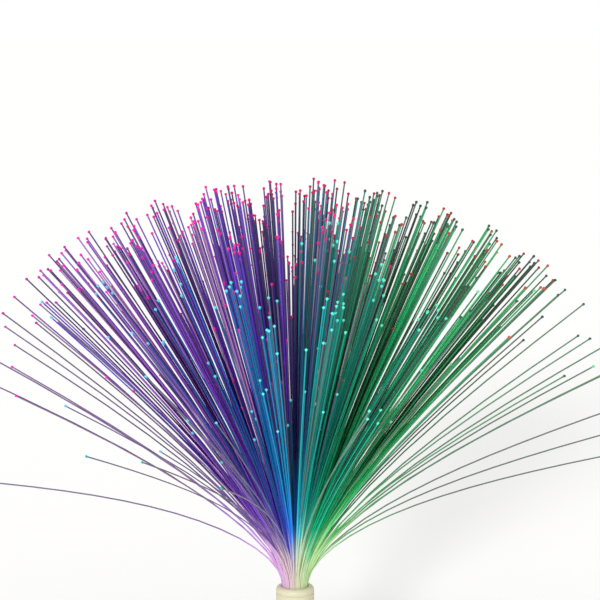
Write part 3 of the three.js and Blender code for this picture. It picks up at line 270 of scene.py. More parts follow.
def spun(name: str, profile: Profile, steps: int) -> Piece:
    """Spins a profile round the Z axis.

    Args:
        name: The new piece's name.
        profile: Points of radius and height, in order. It is closed unless both its ends are on the axis.
        steps: How many steps the full turn has.

    Returns:
        The new piece, closed and facing outwards.
    """
    mesh = bpy.data.meshes.new(name)
    edges = [(i, i + 1) for i in range(len(profile) - 1)]
    if profile[0][0] > 0 or profile[-1][0] > 0:
        edges.append((len(profile) - 1, 0))
    mesh.from_pydata([(radius, 0, height) for radius, height in profile], edges, [])
    piece = linked(name, mesh)
    with editing(piece):
        bpy.ops.mesh.spin(steps=steps, angle=FULL_TURN, center=(0, 0, 0), axis=(0, 0, 1))
        bpy.ops.mesh.select_all(action="SELECT")
        bpy.ops.mesh.remove_doubles(threshold=WELD_REACH)
        bpy.ops.mesh.normals_make_consistent(inside=False)
    return piece


def arc(centre: Place, radii: Pair | float, start: float, end: float, steps: int = 5) -> Profile:
    """Points of an arc, both ends included.

    Args:
        centre: The arc's centre, as radius and height.
        radii: Its radius, or its two half-axes.
        start: The angle that it starts at.
        end: The angle that it ends at.
        steps: How many steps it has.

    Returns:
        The points, in order.
    """
    across, up = radii if isinstance(radii, tuple) else (radii, radii)
    turns = [start + (end - start) * i / steps for i in range(steps + 1)]
    return [(centre[0] + across * math.cos(turn), centre[1] + up * math.sin(turn)) for turn in turns]


def numbered(stem: str, count: int) -> list[str]:
    """The names of the frame's nodes that share a stem."""
    return [f"{stem}_{number}" for number in range(1, count + 1)]


def centre_of(node: str) -> Place:
    """Where the middle of one of the frame's nodes stands in X and Y."""
    low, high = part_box(node)
    return (low[0] + high[0]) / 2, (low[1] + high[1]) / 2


def rides_on(node: str) -> Body:
    """The body that one of the frame's nodes belongs to."""
    return Body(body_of(bpy.data.objects[node])[0])


dressed: set[str] = set()


def install(piece: Piece, body: Body, slot: str, *nodes: str, material: Material | None = None) -> None:
    """Gives a piece its finish, from its slot unless a material is given, the body that it rides on and the
    nodes that it stands for.

    Args:
        piece: The finished piece.
        body: The body that it rides on.
        slot: The record's material slot.
        nodes: The frame's nodes that it stands for, which are noted as dressed.
        material: Its finish, where that isn't its slot's own.
    """
    piece.data.materials.clear()
    piece.data.materials.append(material or SLOT_FINISHES[slot].material())
    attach(piece, body.value)
    if nodes:
        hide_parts(*nodes)
        dressed.update(nodes)
    log.info("%s: %d faces on %s", piece.name, len(piece.data.polygons), body.value)


# Shader nodes, and the effects that more than one finish uses, each a node group


def feed(tree: Tree, node: Node, inputs: dict[str | int, object]) -> None:
    """Links or sets a shader node's inputs.

    Args:
        tree: The tree that the node stands in.
        node: The node.
        inputs: For each input, the output that feeds it or its plain value.
    """
    for key, value in inputs.items():
        if isinstance(value, bpy.types.NodeSocket):
            tree.links.new(value, node.inputs[key])
        else:
            node.inputs[key].default_value = value


def add_node(tree: Tree, kind: str, inputs: dict[str | int, object] | None = None,
             **settings: object) -> Node:
    """Adds a shader node.

    Args:
        tree: The tree that it goes into.
        kind: Its type, without the first words.
        inputs: For each input, the output that feeds it or its plain value.
        settings: Its own settings.

    Returns:
        The node.
    """
    node = tree.nodes.new(f"ShaderNode{kind}")
    for name, value in settings.items():
        setattr(node, name, value)
    feed(tree, node, inputs or {})
    return node


def new_group(name: str, inputs: dict[str, tuple[str, object]],
              outputs: dict[str, str]) -> tuple[Tree, Node, Node]:
    """Makes an empty node group with its sockets.

    Args:
        name: The group's name.
        inputs: The socket type and the default of each input.
        outputs: The socket type of each output.

    Returns:
        The group, its input node and its output node.
    """
    group = bpy.data.node_groups.new(name, "ShaderNodeTree")
    for label, (kind, default) in inputs.items():
        socket = group.interface.new_socket(label, in_out="INPUT", socket_type=f"NodeSocket{kind}")
        socket.default_value = default
    for label, kind in outputs.items():
        group.interface.new_socket(label, in_out="OUTPUT", socket_type=f"NodeSocket{kind}")
    return group, group.nodes.new("NodeGroupInput"), group.nodes.new("NodeGroupOutput")


def new_material(name: str) -> tuple[Material, Tree, Node]:
    """Makes a material, and gives it with its tree and its shader."""
    made = bpy.data.materials.new(name)
    made.use_nodes = True
    return made, made.node_tree, made.node_tree.nodes["Principled BSDF"]


@cache
def grain_group() -> Tree:
    """The fine, uneven surface of a moulded, cast or rolled part, as a height and a roughness."""
    group, inlet, outlet = new_group(
        "surface grain",
        {"Scale": ("Float", 900.0), "Roughness": ("Float", 0.4), "Spread": ("Float", 0.15),
         "Stretch": ("Vector", (1.0, 1.0, 1.0))},
        {"Height": "Float", "Roughness": "Float"})
    place = add_node(group, "TexCoord")
    stretch = add_node(group, "Mapping", {"Vector": place.outputs["Object"],
                                          "Scale": inlet.outputs["Stretch"]}).outputs["Vector"]
    fine = add_node(group, "TexNoise", {"Vector": stretch, "Scale": inlet.outputs["Scale"], "Detail": 3})
    broad = add_node(group, "TexNoise", {"Vector": stretch, "Scale": 60, "Detail": 5})
    centred = add_node(group, "Math", {0: broad.outputs["Fac"], 1: 0.5}, operation="SUBTRACT")
    spread = add_node(group, "Math", {0: centred.outputs[0], 1: inlet.outputs["Spread"]},
                      operation="MULTIPLY")
    rough = add_node(group, "Math", {0: spread.outputs[0], 1: inlet.outputs["Roughness"]}, operation="ADD")
    feed(group, outlet, {"Height": fine.outputs["Fac"], "Roughness": rough.outputs[0]})
    return group


@cache
def drift_group() -> Tree:
    """A slow drift between two near colours, as moulded plastic and plated metal have."""
    group, inlet, outlet = new_group(
        "colour drift", {"First": ("Color", WHITE), "Second": ("Color", WHITE), "Scale": ("Float", 45.0)},
        {"Colour": "Color"})
    place = add_node(group, "TexCoord")
    noise = add_node(group, "TexNoise", {"Vector": place.outputs["Object"],
                                         "Scale": inlet.outputs["Scale"], "Detail": 4})
    mix = add_node(group, "Mix", {0: noise.outputs["Fac"], 6: inlet.outputs["First"],
                                  7: inlet.outputs["Second"]}, data_type="RGBA")
    feed(group, outlet, {"Colour": mix.outputs[2]})
    return group


@dataclass(frozen=True)
class Finish:
    """One finish: its colours, its gloss and its grain."""

    name: str
    first: Colour
    second: Colour
    roughness: float
    metallic: float = 0.0
    grain_scale: float = 900.0
    grain_depth: float = 0.02 * MM
    grain_strength: float = 0.4
    stretch: Triple = (1.0, 1.0, 1.0)
    coat: float = 0.0
    transmission: float = 0.0
    subsurface: float = 0.0
    subsurface_reach: float = 4 * MM
    glow: float = 0.0

    @cache
    def material(self) -> Material:
        """Builds the finish's material, once."""
        made, tree, shader = new_material(self.name)
        drift = add_node(tree, "Group", {"First": (*self.first, 1), "Second": (*self.second, 1)},
                         node_tree=drift_group())
        grain = add_node(tree, "Group", {"Scale": self.grain_scale, "Roughness": self.roughness,
                                         "Stretch": self.stretch}, node_tree=grain_group())
        bump = add_node(tree, "Bump", {"Strength": self.grain_strength, "Distance": self.grain_depth,
                                       "Height": grain.outputs["Height"]})
        feed(tree, shader, {
            "Base Color": drift.outputs["Colour"], "Roughness": grain.outputs["Roughness"],
            "Normal": bump.outputs["Normal"], "Metallic": self.metallic, "Coat Weight": self.coat,
            "Transmission Weight": self.transmission, "Subsurface Weight": self.subsurface,
            "Subsurface Scale": self.subsurface_reach})
        if self.glow:
            feed(tree, shader, {"Emission Color": drift.outputs["Colour"], "Emission Strength": self.glow})
        return made


SLOT_FINISHES = {
    "shell_plastic": Finish("cream moulded plastic", (0.62, 0.59, 0.4), (0.67, 0.64, 0.46), 0.42, coat=0.06,
                            subsurface=0.12),
    "inner_plastic": Finish("ivory moulded plastic", (0.78, 0.74, 0.62), (0.82, 0.78, 0.67), 0.5,
                            grain_scale=1400),
    "black_plastic": Finish("black moulded plastic", (0.012, 0.012, 0.014), (0.02, 0.02, 0.022), 0.42),
    "foot_rubber": Finish("black rubber", (0.02, 0.02, 0.02), (0.032, 0.031, 0.03), 0.85, grain_scale=500,
                          grain_depth=0.06 * MM),
    "screw_steel": Finish("zinc plated steel", (0.56, 0.56, 0.57), (0.64, 0.64, 0.63), 0.3, metallic=1.0,
                          grain_scale=1600),
    "contact_brass": Finish("sheet brass", (0.66, 0.5, 0.22), (0.74, 0.58, 0.3), 0.28, metallic=1.0,
                            grain_scale=1200),
    "cell_jacket": Finish("dark cell film", (0.02, 0.022, 0.03), (0.03, 0.032, 0.04), 0.25, coat=0.5),
    "board_laminate": Finish("green board laminate", (0.015, 0.13, 0.05), (0.02, 0.17, 0.07), 0.35, coat=0.3,
                             grain_scale=1800),
    "star_aluminium": Finish("rolled aluminium", (0.72, 0.72, 0.73), (0.78, 0.78, 0.78), 0.35, metallic=1.0,
                             stretch=(0.1, 1.0, 1.0)),
    "emitter_resin": Finish("white light source", (1.0, 0.96, 0.78), (1.0, 0.97, 0.85), 0.4, glow=3.0),
    "lens_acrylic": Finish("clear acrylic", (0.96, 0.98, 1.0), (0.98, 0.99, 1.0), 0.04, transmission=0.9,
                           grain_depth=0.001 * MM),
    "wheel_plastic": Finish("white acetal", (0.84, 0.84, 0.82), (0.88, 0.88, 0.86), 0.38, subsurface=0.1),
    "lead_red": Finish("red wire insulation", (0.5, 0.03, 0.02), (0.6, 0.05, 0.03), 0.45),
    "lead_black": Finish("black wire insulation", (0.015, 0.015, 0.015), (0.025, 0.025, 0.025), 0.45),
}
for film, first_tint, second_tint in (("violet", (0.35, 0.06, 0.75), (0.42, 0.1, 0.85)),
                                      ("green", (0.03, 0.55, 0.15), (0.05, 0.65, 0.2)),
                                      ("teal", (0.03, 0.55, 0.55), (0.05, 0.62, 0.6)),
                                      ("blue", (0.04, 0.1, 0.7), (0.06, 0.14, 0.8))):
    SLOT_FINISHES[f"filter_{film}"] = Finish(f"{film} filter film", first_tint, second_tint, 0.15,
                                             transmission=0.5, glow=0.3)
RESIN = Finish("bonding resin", (0.86, 0.8, 0.66), (0.8, 0.84, 0.66), 0.2, coat=0.3, subsurface=0.4, glow=0.1)


# The fibres


class Hue(Enum):
    """The colour that a slice of the bundle is lit in, from left to right."""

    VIOLET = "violet"
    BLUE = "blue"
    TEAL = "teal"
    GREEN = "green"


def blend(first: Colour, second: Colour, share: float) -> Colour:
    """Mixes two colours; a share of 1 gives the second."""
    share = min(max(share, 0.0), 1.0)
    return tuple(a + (b - a) * share for a, b in zip(first, second))


def scaled(colour: Colour, factor: float) -> Colour:
    """Makes a colour brighter or darker."""
    return tuple(factor * part for part in colour)


def ramp(stops: Stops, value: float) -> Colour:
    """Reads the colour at a value from stops, which go from the lowest place up."""
    if value <= stops[0][0]:
        return stops[0][1]
    for (low, first), (high, second) in zip(stops, stops[1:]):
        if value <= high:
            return blend(first, second, (value - low) / (high - low))
    return stops[-1][1]


def scatter(number: float) -> float:
    """A repeatable value from -1 to 1 for a number; a strand's chances differ in their fraction."""
    wave = math.sin(number * GOLDEN_ANGLE * math.pi) * FULL_TURN ** 5
    return 2 * (wave - math.floor(wave)) - 1


@dataclass
class Strand:
    """One fibre: where it stands in the bundle, which way it goes and how it looks."""

    root: Place
    slice: int
    way: float
    lean: float
    length: float
    tone: float
    drift: float
    single: bool
    loose: bool = False

    @property
    def across(self) -> float:
        """How far to the right the strand leans, from -1 to 1."""
        return math.sin(self.lean) * math.cos(self.way)

    @property
    def forward(self) -> float:
        """How far to the front the strand leans, from -1 to 1."""
        return -math.sin(self.lean) * math.sin(self.way)

    def toned(self, colour: Colour, dimmest: float, gain: float) -> Colour:
        """Scales a colour by the dimmest factor and what the strand's tone adds to it."""
        return scaled(colour, dimmest + gain * self.tone)


@dataclass(frozen=True)
class FibreLight:
    """How lit fibres look, from the collar to their tips and from the left to the right.

    A strand is waxy and pale at the collar, then strongly lit, and has its body's colour from full_from on.
    Facing strands lean towards the viewer and show brighter colours. Each pair named _tone is a tone's
    dimmest factor and its gain.
    """

    name: str = "lit optical fibre"
    roughness: float = 0.22
    grain_scale: float = 400
    grain_spread: float = 0.2
    specular: float = 0.14
    collar: Stops = ((-0.85, (0.62, 0.34, 0.66)), (-0.3, (0.7, 0.54, 0.58)), (0.1, (0.66, 0.64, 0.46)),
                     (0.4, (0.56, 0.66, 0.38)), (0.85, (0.42, 0.62, 0.3)))
    near: Stops = ((-0.85, (0.45, 0.16, 0.78)), (-0.45, (0.28, 0.08, 0.7)), (-0.2, (0.05, 0.07, 0.62)),
                   (-0.05, (0.0, 0.22, 0.66)), (0.1, (0.0, 0.42, 0.44)), (0.3, (0.0, 0.5, 0.22)),
                   (0.85, (0.01, 0.46, 0.06)))
    # The darkest shades, by hue: partly fibres that carry no light, partly painted shade for strands deep in
    # the dense bundle, taken by a strand's own tone.
    unlit_and_painted_shade: Stops = ((-0.85, (0.05, 0.005, 0.13)), (-0.3, (0.012, 0.0, 0.13)), (0.0, (0.006, 0.001, 0.08)),
                   (0.12, (0.0, 0.016, 0.03)), (0.3, (0.0, 0.024, 0.01)), (0.85, (0.0, 0.04, 0.008)))
    body: Stops = ((-0.85, (0.28, 0.08, 0.45)), (-0.5, (0.24, 0.05, 0.52)), (-0.2, (0.08, 0.02, 0.48)),
                   (0.0, (0.11, 0.03, 0.36)), (0.1, (0.0, 0.18, 0.28)), (0.25, (0.01, 0.36, 0.14)),
                   (0.85, (0.01, 0.42, 0.07)))
    pale: Stops = ((-0.85, (0.52, 0.2, 0.52)), (-0.3, (0.55, 0.26, 0.62)), (0.1, (0.34, 0.24, 0.46)),
                   (0.3, (0.15, 0.11, 0.2)), (0.5, (0.02, 0.42, 0.2)), (0.85, (0.08, 0.42, 0.14)))
    tip: Stops = ((-0.85, (0.6, 0.03, 0.42)), (-0.5, (0.74, 0.01, 0.44)), (-0.2, (0.72, 0.01, 0.26)),
                  (0.1, (0.6, 0.01, 0.12)), (0.3, (0.36, 0.03, 0.03)), (0.85, (0.46, 0.08, 0.02)))
    front: Stops = ((-0.6, (0.1, 0.05, 0.5)), (-0.3, (0.0, 0.13, 0.52)), (0.0, (0.0, 0.27, 0.36)),
                    (0.2, (0.0, 0.34, 0.24)), (0.6, (0.0, 0.34, 0.08)))
    front_tip: Stops = ((-0.6, (0.12, 0.36, 0.62)), (-0.2, (0.06, 0.55, 0.62)), (0.2, (0.08, 0.62, 0.45)),
                        (0.6, (0.1, 0.5, 0.2)))
    dull_tip: Colour = (0.03, 0.1, 0.06)
    loose_tip: Colour = (0.02, 0.35, 0.3)
    grey_left: Colour = (0.18, 0.14, 0.23)
    grey_right: Colour = (0.13, 0.17, 0.14)
    hue_scatter: float = 0.12
    facing_scatter: float = 0.28
    facing_from: float = 0.45
    waxy_scatter: float = 0.4
    waxy_ends: Pair = (0.115, 0.19)
    turn_at: float = 0.28
    full_from: float = 0.4
    full_to: float = 0.7
    rim_from: float = 0.95
    waxy_blend: float = 0.2
    turn_blend: float = 0.35
    rim_grey: float = 0.3
    loose_grey: float = 0.7
    single_dim: float = 0.8
    single_greys: Pair = (0.3, 0.75)
    near_tone: Pair = (0.45, 1.0)
    front_tone: Pair = (0.2, 1.3)
    front_tip_tone: Pair = (0.15, 0.6)
    tip_tone: Pair = (0.5, 0.9)
    body_tones: tuple[float, ...] = (0.3, 0.5, 0.72, 0.84)
    bright: float = 1.7
    glow: float = 0.35
    glow_foot: float = 0.2
    glow_rise: float = 0.14
    glow_reach: float = 0.5
    tip_glow: float = 0.3
    dull_from: float = 0.15
    dull_below: float = 0.1

    def colours(self, strand: Strand, share: float, is_tip: bool) -> tuple[Colour, Colour]:
        """The surface colour and the glow of a strand at a place along it.

        Args:
            strand: The strand.
            share: The share of its free length that lies behind the place.
            is_tip: Whether the place is on its glowing tip.

        Returns:
            The surface colour and the colour of the light that it gives off.
        """
        across = strand.across + self.hue_scatter * strand.drift
        facing = strand.forward + self.facing_scatter * strand.drift > self.facing_from and not strand.loose
        if is_tip:
            return self._tip(strand, across, facing)
        near = ramp(self.near, across)
        body = self._body(strand, across, facing)
        grey = self.grey_left if across < 0 else self.grey_right
        if strand.loose:
            near = blend(near, grey, self.loose_grey)
            body = grey
        elif strand.single:
            near = blend(scaled(near, self.single_dim), grey, self.single_greys[0])
            body = blend(body, grey, self.single_greys[1])
        near = strand.toned(near, *self.near_tone)
        collar = ramp(self.collar, across)
        waxy = 1 + self.waxy_scatter * strand.drift
        rim = blend(body, grey, 0.0 if facing else self.rim_grey)
        along = ((0.0, collar), (self.waxy_ends[0] * waxy, blend(collar, near, self.waxy_blend)),
                 (self.waxy_ends[1] * waxy, near), (self.turn_at, blend(near, body, self.turn_blend)),
                 (self.full_from, body), (self.full_to, body), (self.rim_from, rim))
        colour = ramp(along, share)
        fading = max(0.0, 1 - share / self.glow_reach)
        glow = self.glow * min(1.0, self.glow_foot + share / self.glow_rise) * fading
        return colour, scaled(colour, glow)

    def _body(self, strand: Strand, across: float, facing: bool) -> Colour:
        """The colour of a strand's free length by its own tone: unlit and in painted shade, full, bright or
        pale.
        """
        if facing:
            return strand.toned(ramp(self.front, across), *self.front_tone)
        full = ramp(self.body, across)
        # The first shade is painted shade between dense strands, partly unlit fibres.
        shades = (ramp(self.unlit_and_painted_shade, across), full, scaled(full, self.bright), ramp(self.pale, across))
        return ramp(tuple(zip(self.body_tones, shades)), strand.tone)

    def _tip(self, strand: Strand, across: float, facing: bool) -> tuple[Colour, Colour]:
        """The surface colour and the glow of a strand's tip."""
        if strand.loose:
            return self.loose_tip, scaled(self.loose_tip, self.tip_glow)
        if facing:
            colour = ramp(self.front_tip, across)
            return colour, strand.toned(colour, *self.front_tip_tone)
        dull = across > self.dull_from and strand.drift < self.dull_below
        colour = strand.toned(self.dull_tip if dull else ramp(self.tip, across), *self.tip_tone)
        return colour, scaled(colour, self.tip_glow)

    @cache
    def material(self) -> Material:
        """Builds the material, once, which reads each strand's own colour and glow."""
        made, tree, shader = new_material(self.name)
        tint, lit = (add_node(tree, "Attribute", attribute_name=name) for name in ("tint", "lit"))
        grain = add_node(tree, "Group", {"Scale": self.grain_scale, "Roughness": self.roughness,
                                         "Spread": self.grain_spread}, node_tree=grain_group())
        feed(tree, shader, {
            "Base Color": tint.outputs["Color"], "Emission Color": lit.outputs["Color"],
            "Emission Strength": 1.0, "Roughness": grain.outputs["Roughness"],
            "Specular IOR Level": self.specular})
        return made


@dataclass
class FibreSpray:
    """The spray of fibres: four groups of strands, each bonded in its slice of the bundle.

    The strands stand and lean as the frame's do. Companions, which only the scene has, fill them out: each
    reach is how far off one goes, in parts of the unit circle. A loose strand is named by its way round
    the collar and its full lean, in degrees, and the share of the full length that it has.
    """

    fibre_length: float = 247 * MM
    fibre_thickness: float = 0.66 * MM
    fibre_pitch: float = 0.75 * MM
    shown_radius: float = 0.44 * MM
    spread: float = math.radians(49)
    lone_spread: float = math.radians(64)
    lean_power: float = 1.1
    root_bend: float = 12 * MM
    far_bend: float = 70 * MM
    root_bend_share: float = 0.5
    root_margin: float = 0.02 * MM
    seat_gap: float = 0.3 * MM
    bead_radius: float = 0.86 * MM
    bead_length: float = 1.7 * MM
    plain_until: float = 1.3
    tip_from: float = 1.05
    bead_rows: tuple[Pair, ...] = ((0.7, 0.9), (0.3, 1.0), (0.02, 0.45))
    tuft_count: int = 72
    tuft_pull_share: float = 0.72
    lone_every: int = 6
    jitter_share: float = 0.2
    lone_jitter_share: float = 0.3
    length_spread_share: float = 0.03
    middle_tone: float = 0.5
    tuft_tone: float = 0.22
    own_tone: float = 0.28
    tuft_drift: float = 0.45
    own_drift: float = 0.55
    companions: tuple[float, ...] = (0.08, 0.024, 0.12)
    lone_companions: tuple[float, ...] = (0.06,)
    close_reach: float = 0.03
    middle_side: float = 0.2
    outer_side: float = 0.42
    companion_drop: float = 0.06
    far_drop: float = 0.2
    front_drop: float = 0.5
    front_from: float = 0.3
    companion_tone: float = 0.4
    companion_drift: float = 0.3
    samples: int = 9
    loose_samples: int = 16
    sample_power: float = 1.5
    sample_steps: int = 8
    shading_angle: float = math.radians(100)
    bundle_radius: float = 7.7 * MM
    glue_recess: float = 0.5 * MM
    resin_inset: float = 0.15 * MM
    resin_gap: float = 0.1 * MM
    resin_edge: float = 0.2 * MM
    resin_steps: int = 64
    cut_shares: tuple[float, ...] = (-1.0, -0.4, 0.0, 0.4, 1.0)
    loose_reach_share: float = 0.86
    loose: tuple[Triple, ...] = (
        (180, 88, 0.943), (239, 71, 1), (252, 71, 1), (259, 74, 1), (350, 78, 1), (350, 74, 1), (350, 71, 1),
        (0, 66, 1), (100, 74, 1))
    light: FibreLight = FibreLight()
    strands: list[Strand] = field(default_factory=list)

    def __post_init__(self) -> None:
        """Takes the bundle's place from the frame and lays out the strands."""
        self.bundle_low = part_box("fibres_violet")[0][2]
        self.bundle_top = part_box("spray_collar")[1][2] - self.glue_recess
        self.root_reach = self.bundle_radius - self.fibre_thickness / 2 - self.root_margin
        reaches = [math.sqrt((i + 0.5) / self.tuft_count) for i in range(self.tuft_count)]
        self.tufts = [(reach * math.cos(i * GOLDEN_ANGLE), reach * math.sin(i * GOLDEN_ANGLE))
                      for i, reach in enumerate(reaches)]
        for index in range(len(Hue)):
            for i, root in enumerate(self._slice_roots(index)):
                self._plant(root, index, i * len(self.cut_shares) + index)
        self._loosen()
        self._thicken()

    def _slice_roots(self, index: int) -> list[Place]:
        """Where one slice's strands stand, in evenly filled columns, as in the frame."""
        inset = self.fibre_thickness / 2 + self.seat_gap / 2 + self.root_margin
        pitch = self.fibre_pitch * math.sin(math.pi / 3)
        start = max(self.cut_shares[index] * self.bundle_radius + inset, -self.root_reach)
        end = min(self.cut_shares[index + 1] * self.bundle_radius - inset, self.root_reach)
        columns = math.floor((end - start) / pitch)
        roots = []
        for column in range(columns + 1):
            x = start + (end - start) * column / columns
            half = math.sqrt(max(self.root_reach ** 2 - x ** 2, 0))
            rows = math.floor(2 * half / self.fibre_pitch)
            roots += [(x, half * (2 * row / rows - 1) if rows else 0.0) for row in range(rows + 1)]
        return roots

    def _full_lean(self, distance: float, spread: float) -> float:
        """A strand's full lean for its distance from the unit circle's middle."""
        return spread * min(distance, 1) ** self.lean_power

    def _plant(self, root: Place, index: int, number: int) -> None:
        """Adds the strand of one root, which leans towards the middle of its tuft unless it stands alone.

        Args:
            root: Where the strand stands in the bundle.
            index: The slice that it belongs to.
            number: Its own number, which its chances come from.
        """
        u, v = root[0] / self.root_reach, root[1] / self.root_reach
        tuft = min(range(self.tuft_count), key=lambda t: math.dist(self.tufts[t], (u, v)))
        single = number % self.lone_every == 0
        pull = 0.0 if single else self.tuft_pull_share
        share = self.lone_jitter_share if single else self.jitter_share
        jitter = share * self.fibre_pitch / self.root_reach
        a = u + pull * (self.tufts[tuft][0] - u) + jitter * scatter(number)
        b = v + pull * (self.tufts[tuft][1] - v) + jitter * scatter(number + 0.5)
        lean = self._full_lean(math.hypot(a, b), self.lone_spread if single else self.spread)
        length = self.fibre_length * (1 - self.length_spread_share * (1 + scatter(number + 0.25)) / 2)
        tone = self.middle_tone + self.tuft_tone * scatter(tuft + 0.3) + self.own_tone * scatter(number + 0.8)
        drift = self.tuft_drift * scatter(tuft + 0.6) + self.own_drift * scatter(number + 0.9)
        self.strands.append(Strand(root, index, math.atan2(b, a), lean, length, tone, drift, single))

    def _loosen(self) -> None:
        """Picks the rim's strand nearest to each loose way, and lets it hang."""
        rim = [strand for strand in self.strands
               if math.hypot(*strand.root) > self.loose_reach_share * self.root_reach]
        for way, lean, kept in self.loose:
            angle = math.radians(way)
            spot = (self.root_reach * math.cos(angle), self.root_reach * math.sin(angle))
            chosen = min(rim, key=lambda strand: math.dist(strand.root, spot))
            rim.remove(chosen)
            chosen.way = math.atan2(chosen.root[1], chosen.root[0])
            chosen.lean = math.radians(lean)
            chosen.length = kept * self.fibre_length
            chosen.loose = True

    def _reaches(self, strand: Strand) -> tuple[float, ...]:
        """How far off a strand's companions go: most in the middle of the spray, fewest at its sides."""
        if strand.single:
            return self.lone_companions
        side = abs(strand.across)
        return self.companions[:1 + (side < self.outer_side) + (side < self.middle_side)]

    def _thicken(self) -> None:
        """Gives each strand companions close by and further off, which fill the spray out."""
        for number, strand in enumerate(list(self.strands)):
            if strand.loose:
                continue
            for turn, reach in enumerate(self._reaches(strand)):
                self._accompany(strand, reach, number + turn / len(self.companions))

    def _accompany(self, strand: Strand, reach: float, chance: float) -> None:
        """Adds one companion; a close one keeps the colours of its strand.

        Args:
            strand: The strand that it goes with.
            reach: How far off it goes.
            chance: The number that its chances come from.
        """
        spread = self.lone_spread if strand.single else self.spread
        radius = (strand.lean / spread) ** (1 / self.lean_power)
        a = radius * math.cos(strand.way) + reach * scatter(chance + 0.1)
        b = radius * math.sin(strand.way) + reach * scatter(chance + 0.2)
        tone, drift = strand.tone, strand.drift
        if reach < self.close_reach:
            drop = self.companion_drop
        else:
            drop = self.front_drop if strand.forward > self.front_from else self.far_drop
            tone = min(max(tone + self.companion_tone * scatter(chance + 0.6), 0.0), 1.0)
            drift = drift + self.companion_drift * scatter(chance + 0.8)
        length = strand.length * (1 - drop * (1 + scatter(chance + 0.4)) / 2)
        lean = self._full_lean(min(math.hypot(a, b), 1), spread)
        self.strands.append(Strand(strand.root, strand.slice, math.atan2(b, a), lean, length, tone, drift,
                                   strand.single))

    def path(self, strand: Strand) -> list[tuple[Vector, float]]:
        """Follows a strand from the foot of the bundle to its tip.

        Args:
            strand: The strand to follow.

        Returns:
            Its points, each with the share of the free length that lies behind it.
        """
        at = Vector((*strand.root, self.bundle_top))
        points = [(Vector((*strand.root, self.bundle_low)), 0.0), (at.copy(), 0.0)]
        travelled = 0.0
        samples = self.loose_samples if strand.loose else self.samples
        for i in range(1, samples + 1):
            target = strand.length * (i / samples) ** self.sample_power
            step = (target - travelled) / self.sample_steps
            for j in range(self.sample_steps):
                middle = travelled + (j + 0.5) * step
                near = 1 - math.exp(-middle / self.root_bend)
                far = 1 - math.exp(-middle / self.far_bend)
                lean = strand.lean * (self.root_bend_share * near + (1 - self.root_bend_share) * far)
                at = at + step * Vector((math.sin(lean) * math.cos(strand.way),
                                         math.sin(lean) * math.sin(strand.way), math.cos(lean)))
            travelled = target
            points.append((at.copy(), target / strand.length))
        return points

    def build(self) -> None:
        """Builds one piece for each slice's strands and one for the resin that bonds them."""
        for index, hue in enumerate(Hue):
            self._strands(hue, index)
        self._resin()

    def _rows(self, strand: Strand) -> list[tuple[Vector, float, float, bool]]:
        """A strand's rings: place, thickness as a multiple of the fibre's, share and whether on the tip."""
        points = self.path(strand)
        end, before = points[-1][0], points[-2][0]
        along = (end - before).normalized() * self.bead_length
        bead = self.bead_radius / self.shown_radius
        return [*((place, 1.0, share, False) for place, share in points[:-1]),
                (end - along * self.plain_until, 1.0, 1.0, False),
                (end - along * self.tip_from, 1.0, 1.0, True),
                *((end - along * back, share * bead, 1.0, True) for back, share in self.bead_rows)]

    def _strands(self, hue: Hue, index: int) -> None:
        """Builds the strands of one slice as one piece.

        Args:
            hue: The slice's colour.
            index: The slice's place, from the left.
        """
        name = f"fibre_strands_{hue.value}"
        curve = bpy.data.curves.new(name, "CURVE")
        curve.dimensions = "3D"
        curve.bevel_mode = "ROUND"
        curve.bevel_depth = self.shown_radius
        curve.bevel_resolution = 0
        marks: list[tuple[Strand, float, bool]] = []
        for strand in self.strands:
            if strand.slice != index:
                continue
            rows = self._rows(strand)
            spline = curve.splines.new("POLY")
            spline.points.add(len(rows) - 1)
            for point, (place, thickness, share, is_tip) in zip(spline.points, rows):
                point.co = (*place, 1)
                point.radius = thickness
                marks.append((strand, share, is_tip))
        make_active(linked(name, curve))
        bpy.ops.object.convert(target="MESH")
        piece = bpy.context.object
        self._tint(piece, marks)
        with editing(piece):
            bpy.ops.mesh.fill_holes(sides=0)
            bpy.ops.mesh.select_all(action="SELECT")
            bpy.ops.mesh.normals_make_consistent(inside=False)
        smooth(piece, self.shading_angle)
        install(piece, Body.SPRAY, f"fibre_{hue.value}", f"fibres_{hue.value}",
                material=self.light.material())

    def _tint(self, piece: Piece, marks: list[tuple[Strand, float, bool]]) -> None:
        """Writes each strand's colour and glow on the points of its rings.

        Args:
            piece: The slice's strands as a mesh, ring by ring.
            marks: The strand, the share and whether on the tip, for each ring.
        """
        mesh = piece.data
        corners = len(mesh.vertices) // len(marks)
        if corners * len(marks) != len(mesh.vertices):
            raise RuntimeError(f"{piece.name}: {len(mesh.vertices)} points for {len(marks)} rings")
        tint = mesh.attributes.new("tint", "FLOAT_COLOR", "POINT")
        lit = mesh.attributes.new("lit", "FLOAT_COLOR", "POINT")
        for ring, (strand, share, is_tip) in enumerate(marks):
            colour, glow = self.light.colours(strand, share, is_tip)
            for corner in range(ring * corners, (ring + 1) * corners):
                tint.data[corner].color = (*colour, 1)
                lit.data[corner].color = (*glow, 1)

    def _resin(self) -> None:
        """Builds the resin that bonds the fibres inside the collar."""
        radius = self.bundle_radius - self.resin_gap
        low, top = self.bundle_low + self.resin_inset, self.bundle_top
        profile = [(0, low), (radius, low), (radius, top), (0, top)]
        piece = spun("fibre_bonding_resin", profile, self.resin_steps)
        soften(piece, self.resin_edge)
        smooth(piece)
        install(piece, Body.SPRAY, "fibre_teal", material=RESIN.material())


